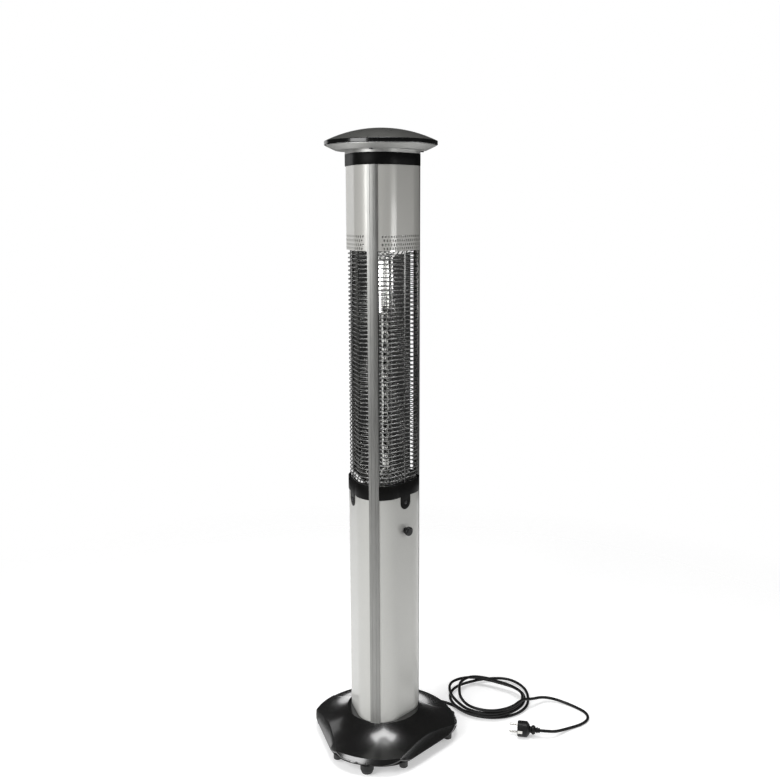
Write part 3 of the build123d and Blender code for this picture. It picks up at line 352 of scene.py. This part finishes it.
def metallic_paint(name, colour, roughness=0.36, metallic=0.2, coat=0.45):
    """Sprayed paint with fine flakes, under a thin clear layer."""
    finish = Finish(name, colour, roughness, metallic, Coat_Weight=coat, Coat_Roughness=0.1)
    flakes = finish.flakes(2600.0)
    finish.tint(flakes, 0.93, 1.07, 0.0, 1.0)
    finish.tint(finish.noise(7.0, (1.0, 1.0, 0.25)), 0.97, 1.03)
    finish.gloss(finish.noise(60.0), roughness - 0.03, roughness + 0.04)
    finish.relief(finish.noise(420.0, detail=1.0), 0.00002, 0.35)
    return finish


def black_plastic(name, colour, roughness, grain, depth=0.5, patches=0.1, **sockets):
    """Moulded black plastic with a fine grain and faint dull patches."""
    finish = Finish(name, colour, roughness, **sockets)
    finish.gloss(finish.noise(35.0, detail=5.0), roughness - 0.4 * patches, roughness + 0.6 * patches)
    finish.tint(finish.noise(900.0), 0.85, 1.2)
    finish.relief(finish.noise(grain, detail=2.0), 0.00004, depth)
    return finish


def drawn_metal(name, colour, roughness, stretch, streaks=0.0001, metallic=1.0):
    """Metal with fine streaks along the direction it was drawn or rolled in."""
    finish = Finish(name, colour, roughness, metallic)
    lines = finish.noise(1500.0, stretch, detail=4.0)
    finish.gloss(lines, roughness - 0.06, roughness + 0.08)
    finish.tint(lines, 0.88, 1.1)
    finish.tint(finish.noise(9.0), 0.95, 1.05)
    finish.relief(lines, streaks, 0.12)
    return finish


def make_finishes(colours):
    """Every finish of the tower, by its record slot."""
    made = {}

    made["cover_gloss_black"] = black_plastic(
        "cover_gloss_black", colours.cover, 0.24, 700.0, 0.12, 0.04, Coat_Weight=1.0, Coat_Roughness=0.14)

    made["tray_black"] = black_plastic(
        "tray_black", (0.012, 0.012, 0.012), 0.5, 1600.0, Specular_IOR_Level=0.3)
    made["knob_black"] = black_plastic(
        "knob_black", (0.006, 0.006, 0.006), 0.28, 1400.0, 0.3, Specular_IOR_Level=0.35)
    made["switch_grey"] = black_plastic("switch_grey", (0.07, 0.07, 0.075), 0.5, 1600.0)
    made["cap_rim_black"] = black_plastic("cap_rim_black", (0.005, 0.005, 0.005), 0.14, 500.0, 0.1, 0.04)

    iron = Finish("ballast_iron", (0.05, 0.05, 0.05), 0.7, 0.4)
    iron.relief(iron.noise(260.0, detail=6.0), 0.0006, 0.8)
    iron.toward(iron.noise(40.0, detail=6.0), (0.09, 0.06, 0.045), 0.55, 0.8, 0.5)
    made["ballast_iron"] = iron

    for slot, level, base in (("pad_rubber", 0.62, 0.018), ("loom_sleeve", 0.8, 0.25)):
        rubber = Finish(slot, (base, base, base * 0.97), level, Sheen_Weight=0.15)
        rubber.tint(rubber.noise(300.0, detail=5.0), 0.8, 1.25)
        rubber.relief(rubber.noise(1800.0), 0.00006, 0.6)
        made[slot] = rubber
    weave = made["loom_sleeve"]
    weave.relief(weave.bands(700.0), 0.0003, 0.7)

    made["castor_steel"] = drawn_metal("castor_steel", (0.72, 0.72, 0.71), 0.14, (1, 1, 1))
    made["screw_steel"] = drawn_metal("screw_steel", (0.42, 0.42, 0.41), 0.3, (1, 1, 1))
    made["screw_dark"] = drawn_metal("screw_dark", (0.06, 0.06, 0.062), 0.35, (1, 1, 1), metallic=0.8)
    made["inner_steel"] = drawn_metal("inner_steel", (0.5, 0.5, 0.5), 0.42, (1, 1, 0.15))
    made["plug_metal"] = drawn_metal("plug_metal", (0.66, 0.65, 0.62), 0.22, (1, 1, 1))

    post = drawn_metal("post_aluminium", colours.post, 0.38, (1, 1, 0.02), 0.0001, 0.85)
    made["post_aluminium"] = post

    made["panel_paint"] = metallic_paint("panel_paint", colours.panel)
    made["shroud_paint"] = metallic_paint("shroud_paint", colours.shroud)
    made["cap_dome_paint"] = metallic_paint("cap_dome_paint", colours.dome, 0.3, 0.5, 0.5)

    ring = Finish("ring_black", colours.black_paint, 0.4, Specular_IOR_Level=0.08)
    ring.gloss(ring.noise(50.0, detail=4.0), 0.35, 0.45)
    ring.tint(ring.noise(600.0), 0.85, 1.2)
    ring.relief(ring.noise(900.0, detail=2.0), 0.00004, 0.5)
    made["ring_black"] = ring

    made["neck_silver"] = drawn_metal("neck_silver", colours.neck, 0.48, (1, 1, 0.3), 0.00005, 0.8)

    mirror = Finish("reflector_bright", (0.84, 0.84, 0.83), 0.02, 1.0)
    roll = mirror.noise(500.0, (1, 1, 0.03), detail=3.0)
    mirror.gloss(roll, 0.015, 0.035)
    mirror.relief(mirror.noise(9.0, (1, 1, 0.3), detail=1.0), 0.0002, 0.1)
    mirror.tint(mirror.noise(20.0, detail=4.0), 0.93, 1.0)
    made["reflector_bright"] = mirror

    wire = Finish("wire_steel", (0.36, 0.36, 0.355), 0.25, 1.0)
    wire.gloss(wire.noise(300.0), 0.18, 0.3)
    wire.tint(wire.noise(120.0, detail=4.0), 0.85, 1.05)
    wire.relief(wire.noise(2200.0), 0.00001, 0.2)
    made["wire_steel"] = wire

    quartz = Finish("quartz", (0.95, 0.95, 0.94), 0.03, IOR=1.45, Transmission_Weight=1.0)
    quartz.gloss(quartz.noise(25.0, (1, 1, 0.2)), 0.02, 0.07)
    quartz.relief(quartz.noise(60.0, (1, 1, 0.1), detail=1.0), 0.0001, 0.2)
    made["quartz"] = quartz

    carbon = Finish("filament_carbon", (0.022, 0.021, 0.02), 0.5)
    carbon.relief(carbon.bands(900.0), 0.0003, 0.8)
    carbon.tint(carbon.noise(500.0), 0.7, 1.3)
    made["filament_carbon"] = carbon

    clay = Finish("lamp_ceramic", (0.72, 0.70, 0.64), 0.62, Subsurface_Weight=0.05)
    clay.tint(clay.noise(200.0, detail=5.0), 0.93, 1.04)
    clay.relief(clay.noise(900.0), 0.00006, 0.6)
    made["lamp_ceramic"] = clay

    made["terminal_white"] = black_plastic("terminal_white", (0.65, 0.65, 0.6), 0.45, 1500.0)

    cord = Finish("cord_black", colours.cord, 0.42, Specular_IOR_Level=0.22)
    cord.gloss(cord.noise(90.0, detail=4.0), 0.36, 0.5)
    cord.tint(cord.noise(250.0, detail=4.0), 0.8, 1.3)
    cord.relief(cord.noise(1500.0, detail=2.0), 0.00005, 0.5)
    made["cord_black"] = cord
    return made


def finish_of(slot):
    """The material of one record slot, made with all the others on first use."""
    name = FINISH_PREFIX + slot
    if name not in bpy.data.materials:
        make_finishes(bpy.context.scene.heater_colours)
    return bpy.data.materials[name]


# ---------------------------------------------------------------- pieces

def body_of_node(node):
    return NODES[node]["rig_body"]


def slot_of_node(node):
    entries = FRAME["record"]["subparts"]
    return next(entry["material_slot"] for entry in entries if entry["node"] == node)


def dress(node):
    """Gives a CAD node its finish."""
    slot = slot_of_node(node)
    mesh = NODES[node].data
    mesh.materials.clear()
    mesh.materials.append(finish_of(slot))


def add_piece(name, mesh, slot, body, node):
    """Links a new mesh as a piece that rides on a body and stands for a CAD node."""
    piece = bpy.data.objects.new(name, mesh)
    bpy.context.scene.collection.objects.link(piece)
    mesh.materials.clear()
    mesh.materials.append(finish_of(slot))
    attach(piece, body)
    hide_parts(node)


def soften(mesh):
    """Smooth shading, apart from sharp edges."""
    mesh.polygons.foreach_set("use_smooth", [True] * len(mesh.polygons))
    limit = math.radians(SMOOTH_ANGLE)
    work = bmesh.new()
    work.from_mesh(mesh)
    for edge in work.edges:
        edge.smooth = not (edge.is_manifold and edge.calc_face_angle() > limit)
    work.to_mesh(mesh)
    work.free()


def rounded_copy(node, name, width, angle, segments):
    """A copy of a CAD node's form, with its edges sharper than the angle rounded, in its place."""
    work = bmesh.new()
    work.from_mesh(NODES[node].data)
    bmesh.ops.remove_doubles(work, verts=work.verts, dist=MERGE_DISTANCE)
    bmesh.ops.dissolve_limit(
        work, angle_limit=math.radians(FLAT_ANGLE), verts=work.verts, edges=work.edges,
        use_dissolve_boundaries=False)
    limit = math.radians(angle)
    sharp = [edge for edge in work.edges if edge.is_manifold and edge.calc_face_angle() > limit]
    bmesh.ops.bevel(
        work, geom=sharp, offset=width, offset_type="OFFSET", segments=segments, profile=0.5,
        affect="EDGES", clamp_overlap=True)
    bmesh.ops.triangulate(work, faces=[face for face in work.faces if len(face.verts) > 4])
    mesh = bpy.data.meshes.new(name)
    work.to_mesh(mesh)
    work.free()
    soften(mesh)
    add_piece(name, mesh, slot_of_node(node), body_of_node(node), node)


def node_box(node):
    """The lower and the upper corner of a CAD node."""
    piece = NODES[node]
    spots = [piece.matrix_world @ Vector(corner) for corner in piece.bound_box]
    return [Vector([edge(spot[axis] for spot in spots) for axis in range(3)]) for edge in (min, max)]


def twisted_strip(work, place, low, high):
    """Adds a flat strip that turns about its own upright middle line."""
    steps = int((high - low) / FILAMENT_PITCH * FILAMENT_STEPS)
    rings = []
    for step in range(steps + 1):
        level = low + (high - low) * step / steps
        turn = Matrix.Rotation(2 * math.pi * step / FILAMENT_STEPS, 3, "Z")
        ring = []
        for side, face in ((-1, -1), (1, -1), (1, 1), (-1, 1)):
            corner = turn @ Vector((side * FILAMENT_WIDTH / 2, face * FILAMENT_THICK / 2, 0))
            ring.append(work.verts.new((place.x + corner.x, place.y + corner.y, level)))
        rings.append(ring)
    for lower, upper in zip(rings, rings[1:]):
        for i in range(4):
            work.faces.new((lower[i], lower[(i + 1) % 4], upper[(i + 1) % 4], upper[i]))
    work.faces.new(reversed(rings[0]))
    work.faces.new(rings[-1])


def tube_curve(name, points, diameter):
    """A round curve through control points in metres, and its object."""
    curve = bpy.data.curves.new(name, "CURVE")
    curve.dimensions = "3D"
    curve.resolution_u = 8
    curve.bevel_depth = diameter / 2
    curve.bevel_resolution = 6
    curve.use_fill_caps = True
    spline = curve.splines.new("NURBS")
    spline.points.add(len(points) - 1)
    for spot, target in zip(points, spline.points):
        target.co = (*spot, 1.0)
    spline.order_u = 3
    spline.use_endpoint_u = True
    piece = bpy.data.objects.new(name, curve)
    bpy.context.scene.collection.objects.link(piece)
    return piece


# ---------------------------------------------------------------- cord route

def coil_spot(step):
    """A point on the coil's line, in millimetres, placed by its distance from the coil's middle."""
    turn = COIL_STEP * step
    angle = math.radians(COIL_START + turn)
    flat = Vector((
        COIL_MIDDLE[0] + COIL_RADII[step] * math.cos(angle),
        COIL_MIDDLE[1] + COIL_RADII[step] * math.sin(angle),
        COIL_FLOOR + COIL_CLIMB * turn / 360,
    ))
    return Matrix.Rotation(math.radians(COIL_TURN), 3, "Z") @ flat


def coil_heading(step):
    """The coil's direction at a point, taken from it and the points beside it."""
    last = len(COIL_RADII) - 1
    middle = min(max(step, 1), last - 1)
    before, here, after = [coil_spot(middle + i) for i in (-1, 0, 1)]
    if step == 0:
        return (here * 4 - before * 3 - after).normalized()
    if step == last:
        return (after * 3 + before - here * 4).normalized()
    run_in = here - before
    run_out = after - here
    return (run_in.normalized() * run_out.length + run_out.normalized() * run_in.length).normalized()


def coil_corner(step):
    """The control point between two points of the coil, where their tangents meet."""
    start, end = coil_spot(step), coil_spot(step + 1)
    start_way, end_way = coil_heading(step), coil_heading(step + 1)
    reach = (end - start).length / 2 / math.cos(start_way.angle(end_way) / 2)
    return (start + start_way * reach + end - end_way * reach) / 2


def cord_points():
    """The cord's control points in metres, from the strain relief to the plug."""
    last = len(COIL_RADII) - 1
    back, front = Vector(PLUG_BACK), Vector(PLUG_FRONT)
    plug_way = (front - back).normalized()
    points = [Vector(GLAND_TIP)] + [Vector(spot) for spot in LEAD_ROUTE]
    points.append(coil_spot(0) - coil_heading(0) * LEAD_RUN)
    points += [coil_corner(step) for step in range(last)]
    points.append(coil_spot(last) + coil_heading(last) * COIL_EXIT)
    points += [Vector(spot) for spot in TAIL_ROUTE]
    points += [back - plug_way * PLUG_RUN, back]
    return [spot * MM for spot in points]


# ---------------------------------------------------------------- operators

class HeaterOperator(bpy.types.Operator):
    """What the tower's operators share."""

    bl_options = {"REGISTER", "UNDO"}

    @classmethod
    def poll(cls, context):
        return context.scene is not None


class HEATER_OT_stage(HeaterOperator):
    """Camera, floor, soft lights and the pale surroundings"""

    bl_idname = "heater.stage"
    bl_label = "Stage"

    def execute(self, context):
        stage = context.scene.heater_stage
        self.place_camera(context.scene)
        self.lay_floor()
        self.light_world(context.scene, stage.ambient)
        for wall in DARK_WALLS:
            self.raise_wall(*wall)
        self.hang_ceiling("dark_ceiling", WALL_TOP)
        self.soft_light("key_light", KEY_PLACE, KEY_TARGET, KEY_SIZE, stage.key)
        self.level_light("strip_light", STRIP_ANGLE, STRIP_HEIGHT, STRIP_SIZE, stage.strip)
        self.soft_light("top_light", TOP_PLACE, TOP_TARGET, TOP_SIZE, stage.top)
        self.level_light(
            "front_glint", FRONT_GLINT_ANGLE, GLINT_HEIGHT, FRONT_GLINT_SIZE, FRONT_GLINT_POWER)
        self.level_light(
            "side_glint", SIDE_GLINT_ANGLE, GLINT_HEIGHT, SIDE_GLINT_SIZE, SIDE_GLINT_POWER)
        context.scene.view_settings.view_transform = "Standard"
        return {"FINISHED"}

    def place_camera(self, scene):
        right, up = Vector(CAMERA_RIGHT), Vector(CAMERA_UP)
        back = right.cross(up)
        lens = bpy.data.cameras.new("photo_camera")
        lens.sensor_fit = "HORIZONTAL"
        lens.sensor_width = CAMERA_SENSOR
        lens.lens = CAMERA_LENS
        lens.clip_start = CAMERA_NEAR
        lens.clip_end = CAMERA_FAR
        camera = bpy.data.objects.new("photo_camera", lens)
        turn = Matrix((right, up, back)).transposed().to_4x4()
        camera.matrix_world = Matrix.Translation(CAMERA_PLACE) @ turn
        scene.collection.objects.link(camera)
        scene.camera = camera

    def lay_floor(self):
        work = bmesh.new()
        bmesh.ops.create_grid(work, x_segments=24, y_segments=24, size=FLOOR_REACH)
        mesh = bpy.data.meshes.new("floor")
        work.to_mesh(mesh)
        work.free()
        floor = bpy.data.objects.new("floor", mesh)
        bpy.context.scene.collection.objects.link(floor)
        finish = Finish("floor_white", FLOOR_COLOUR, 0.6)
        finish.tint(finish.noise(2.0), 0.995, 1.0)
        glow = finish.node("ShaderNodeEmission")
        glow.inputs["Color"].default_value = (1, 1, 1, 1)
        rays = finish.node("ShaderNodeLightPath")
        lift = finish.node("ShaderNodeMath", operation="MULTIPLY")
        lift.inputs[1].default_value = FLOOR_LIFT
        seen = finish.node("ShaderNodeMath", operation="MAXIMUM")
        finish.join(rays.outputs["Is Camera Ray"], seen.inputs[0])
        finish.join(rays.outputs["Is Glossy Ray"], seen.inputs[1])
        finish.join(seen.outputs[0], lift.inputs[0])
        finish.join(lift.outputs[0], glow.inputs["Strength"])
        both = finish.node("ShaderNodeAddShader")
        finish.join(finish.shader.outputs[0], both.inputs[0])
        finish.join(glow.outputs[0], both.inputs[1])
        far = finish.node("ShaderNodeVectorMath", operation="LENGTH")
        finish.join(finish.place, far.inputs[0])
        fade = finish.spread(far.outputs["Value"], 0.0, 1.0, FLOOR_FADE_START, FLOOR_FADE_END)
        clear = finish.node("ShaderNodeBsdfTransparent")
        blend = finish.node("ShaderNodeMixShader")
        finish.join(fade, blend.inputs["Fac"])
        finish.join(both.outputs[0], blend.inputs[1])
        finish.join(clear.outputs[0], blend.inputs[2])
        finish.join(blend.outputs[0], finish.tree.nodes["Material Output"].inputs["Surface"])
        mesh.materials.append(finish.material)

    def at(self, angle, radius, height):
        """A place round the tower; 0 degrees is in front of the knob's face."""
        turn = math.radians(angle)
        return (radius * math.sin(turn), -radius * math.cos(turn), height)

    def raise_wall(self, name, start, end, low, high):
        """A part of the studio's unlit round wall."""
        work = bmesh.new()
        steps = max(2, int((end - start) / WALL_STEP))
        rows = []
        for step in range(steps + 1):
            angle = start + (end - start) * step / steps
            rows.append([work.verts.new(self.at(angle, WALL_RADIUS, level)) for level in (low, high)])
        for (a, b), (c, d) in zip(rows, rows[1:]):
            work.faces.new((a, c, d, b))
        self.add_unlit(name, work)

    def hang_ceiling(self, name, level):
        """The studio's unlit ceiling."""
        work = bmesh.new()
        rim = [work.verts.new(self.at(angle, WALL_RADIUS, level)) for angle in range(0, 360, CEILING_STEP)]
        work.faces.new(rim)
        self.add_unlit(name, work)

    def add_unlit(self, name, work):
        """Adds a dark surface that only reflections show."""
        mesh = bpy.data.meshes.new(name)
        work.to_mesh(mesh)
        work.free()
        wall = bpy.data.objects.new(name, mesh)
        bpy.context.scene.collection.objects.link(wall)
        finish = Finish(name, (0.02, 0.02, 0.02), 0.9)
        finish.tint(finish.noise(3.0), 0.9, 1.1)
        mesh.materials.append(finish.material)
        wall.visible_camera = False
        wall.visible_diffuse = False
        wall.visible_transmission = False
        wall.visible_shadow = False
        wall.visible_volume_scatter = False

    def light_world(self, scene, ambient):
        world = bpy.data.worlds.new("pale_room")
        scene.world = world
        world.use_nodes = True
        tree = world.node_tree
        sky = tree.nodes["Background"]
        sky.inputs["Color"].default_value = (1, 1, 1, 1)
        rays = tree.nodes.new("ShaderNodeLightPath")
        first = tree.nodes.new("ShaderNodeMath")
        first.operation = "MAXIMUM"
        second = tree.nodes.new("ShaderNodeMath")
        second.operation = "MAXIMUM"
        tree.links.new(rays.outputs["Is Camera Ray"], first.inputs[0])
        tree.links.new(rays.outputs["Is Glossy Ray"], first.inputs[1])
        tree.links.new(first.outputs[0], second.inputs[0])
        tree.links.new(rays.outputs["Is Transmission Ray"], second.inputs[1])
        level = tree.nodes.new("ShaderNodeMapRange")
        level.inputs["To Min"].default_value = ambient
        level.inputs["To Max"].default_value = 1.0
        tree.links.new(second.outputs[0], level.inputs["Value"])
        tree.links.new(level.outputs["Result"], sky.inputs["Strength"])

    def level_light(self, name, angle, height, size, power):
        """A light beside the tower that faces its middle line at its own height."""
        self.soft_light(name, self.at(angle, LIGHT_RADIUS, height), (0, 0, height), size, power)

    def soft_light(self, name, place, target, size, power):
        lamp = bpy.data.lights.new(name, "AREA")
        lamp.shape = "RECTANGLE"
        lamp.size, lamp.size_y = size
        lamp.energy = power
        light = bpy.data.objects.new(name, lamp)
        way = Vector(target) - Vector(place)
        light.location = place
        light.rotation_euler = way.to_track_quat("-Z", "Y").to_euler()
        bpy.context.scene.collection.objects.link(light)


class HEATER_OT_cord(HeaterOperator):
    """The mains cord in one piece, from the strain relief through its coil to the plug"""

    bl_idname = "heater.cord"
    bl_label = "Mains cord"

    def execute(self, context):
        diameter = context.scene.heater_sizes.cord_diameter
        cord = tube_curve("mains_cord", cord_points(), diameter)
        cord.data.materials.append(finish_of("cord_black"))
        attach(cord, TOWER)
        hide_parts("cord_lead", "cord_coil", "cord_tail")
        for node in ("plug_body", "plug_pins", "plug_earth_clips"):
            dress(node)
        dress("cord_gland")
        return {"FINISHED"}


class HEATER_OT_base(HeaterOperator):
    """The gloss black base, its tray and the weight inside"""

    bl_idname = "heater.base"
    bl_label = "Base"

    def execute(self, context):
        crease = context.scene.heater_sizes.cover_crease
        rounded_copy("base_cover", "base_dome", crease, 12.0, 4)
        rounded_copy("rear_cover", "base_rear_dome", crease, 12.0, 4)
        for node in ("base_tray", "ballast_plate", "base_screws", "column_socket"):
            dress(node)
        return {"FINISHED"}


class HEATER_OT_feet(HeaterOperator):
    """Rubber pads, castor housings and their steel balls"""

    bl_idname = "heater.feet"
    bl_label = "Feet and castors"

    def execute(self, context):
        dress("base_pads")
        dress("castor_housings")
        for corner in CORNERS:
            dress("castor_ball_" + corner)
        return {"FINISHED"}


class HEATER_OT_posts(HeaterOperator):
    """The three grooved aluminium posts"""

    bl_idname = "heater.posts"
    bl_label = "Corner posts"

    def execute(self, context):
        for corner in CORNERS:
            dress("corner_post_" + corner)
        return {"FINISHED"}


class HEATER_OT_panels(HeaterOperator):
    """The painted panels of the lower column and the vented ones of the shroud"""

    bl_idname = "heater.panels"
    bl_label = "Panels"

    def execute(self, context):
        for side in SIDES:
            dress("lower_panel_" + side)
            dress("shroud_panel_" + side)
        return {"FINISHED"}


class HEATER_OT_ring(HeaterOperator):
    """The black ring below the lamps, with its tabs and screws, and the top band"""

    bl_idname = "heater.ring"
    bl_label = "Ring and band"

    def execute(self, context):
        edge = context.scene.heater_sizes.part_edge
        rounded_copy("ring_segments", "ring_parts", edge, 40.0, 2)
        rounded_copy("top_band", "top_band_ring", edge, 40.0, 2)
        dress("ring_screws")
        return {"FINISHED"}


class HEATER_OT_grilles(HeaterOperator):
    """The three grilles of level wires"""

    bl_idname = "heater.grilles"
    bl_label = "Wire grilles"

    def execute(self, context):
        for side in SIDES:
            dress("wire_grille_" + side)
        return {"FINISHED"}


class HEATER_OT_reflectors(HeaterOperator):
    """The polished sheets behind the lamps and the sloping plates at their ends"""

    bl_idname = "heater.reflectors"
    bl_label = "Reflectors"

    def execute(self, context):
        for node in ("reflectors", "lower_end_plates", "upper_end_plates"):
            dress(node)
        return {"FINISHED"}


class HEATER_OT_lamps(HeaterOperator):
    """The quartz lamps, their filaments and ceramic sockets"""

    bl_idname = "heater.lamps"
    bl_label = "Lamps"

    def execute(self, context):
        for node in ("lamp_tubes", "lower_lamp_sockets", "upper_lamp_sockets"):
            dress(node)
        low, high = [corner.z for corner in node_box("lamp_filaments")]
        work = bmesh.new()
        for angle in LAMP_ANGLES:
            turn = Matrix.Rotation(math.radians(angle), 4, "Z")
            place = turn @ Vector((0, -LAMP_OUT, 0))
            twisted_strip(work, place, FILAMENT_BOTTOM, FILAMENT_TOP)
            for start, end in ((low, FILAMENT_BOTTOM), (FILAMENT_TOP, high)):
                bmesh.ops.create_cone(
                    work, cap_ends=True, segments=12, radius1=FILAMENT_LEAD / 2, radius2=FILAMENT_LEAD / 2,
                    depth=end - start, matrix=Matrix.Translation((place.x, place.y, (start + end) / 2)))
        mesh = bpy.data.meshes.new("filaments")
        work.to_mesh(mesh)
        work.free()
        soften(mesh)
        add_piece("filaments", mesh, "filament_carbon", TOWER, "lamp_filaments")
        return {"FINISHED"}


class HEATER_OT_cap(HeaterOperator):
    """The neck, the cap's pan, rim and dome, and what holds them"""

    bl_idname = "heater.cap"
    bl_label = "Cap"

    def execute(self, context):
        for node in ("neck", "cap_pan", "cap_spacers", "cap_stiffener", "cap_screws", "cap_rim",
                     "cap_dome", "top_plate"):
            dress(node)
        return {"FINISHED"}


class HEATER_OT_knob(HeaterOperator):
    """The mushroom knob and its shaft"""

    bl_idname = "heater.knob"
    bl_label = "Knob"

    def execute(self, context):
        dress("knob")
        dress("switch_shaft")
        return {"FINISHED"}


class HEATER_OT_inside(HeaterOperator):
    """Decks, switch, cut-outs, terminal block and wiring inside the column"""

    bl_idname = "heater.inside"
    bl_label = "Inner parts"

    def execute(self, context):
        for node in ("lower_deck", "upper_deck", "switch_body", "terminal_block", "tilt_switch",
                     "thermal_cutout", "cable_entry", "mains_lead_inside", "return_lead"):
            dress(node)
        loom = tube_curve("loom", [Vector(spot) * MM for spot in LOOM_ROUTE], LOOM_DIAMETER)
        loom.data.materials.append(finish_of("loom_sleeve"))
        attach(loom, TOWER)
        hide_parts("wiring_loom")
        return {"FINISHED"}


OPERATORS = (
    HEATER_OT_stage,
    HEATER_OT_cord,
    HEATER_OT_base,
    HEATER_OT_feet,
    HEATER_OT_posts,
    HEATER_OT_panels,
    HEATER_OT_ring,
    HEATER_OT_grilles,
    HEATER_OT_reflectors,
    HEATER_OT_lamps,
    HEATER_OT_cap,
    HEATER_OT_knob,
    HEATER_OT_inside,
)


class HEATER_PT_tower(bpy.types.Panel):
    """Lists the tower's pieces and settings."""

    bl_idname = "HEATER_PT_tower"
    bl_label = "Patio heater tower"
    bl_space_type = "VIEW_3D"
    bl_region_type = "UI"
    bl_category = "Heater"

    def draw(self, context):
        layout = self.layout
        scene = context.scene
        for group in (scene.heater_colours, scene.heater_sizes, scene.heater_stage):
            box = layout.box()
            for name in group.bl_rna.properties.keys():
                if name not in ("rna_type", "name"):
                    box.prop(group, name)
        for operator in OPERATORS:
            layout.operator(operator.bl_idname)


CLASSES = (HeaterColours, HeaterSizes, HeaterStage) + OPERATORS + (HEATER_PT_tower,)


def register():
    for made in CLASSES:
        bpy.utils.register_class(made)
    bpy.types.Scene.heater_colours = bpy.props.PointerProperty(type=HeaterColours)
    bpy.types.Scene.heater_sizes = bpy.props.PointerProperty(type=HeaterSizes)
    bpy.types.Scene.heater_stage = bpy.props.PointerProperty(type=HeaterStage)


def unregister():
    del bpy.types.Scene.heater_stage
    del bpy.types.Scene.heater_sizes
    del bpy.types.Scene.heater_colours
    for made in reversed(CLASSES):
        bpy.utils.unregister_class(made)


def main():
    register()
    for operator in OPERATORS:
        group, name = operator.bl_idname.split(".")
        getattr(getattr(bpy.ops, group), name)()


if __name__ == "__main__":
    main()
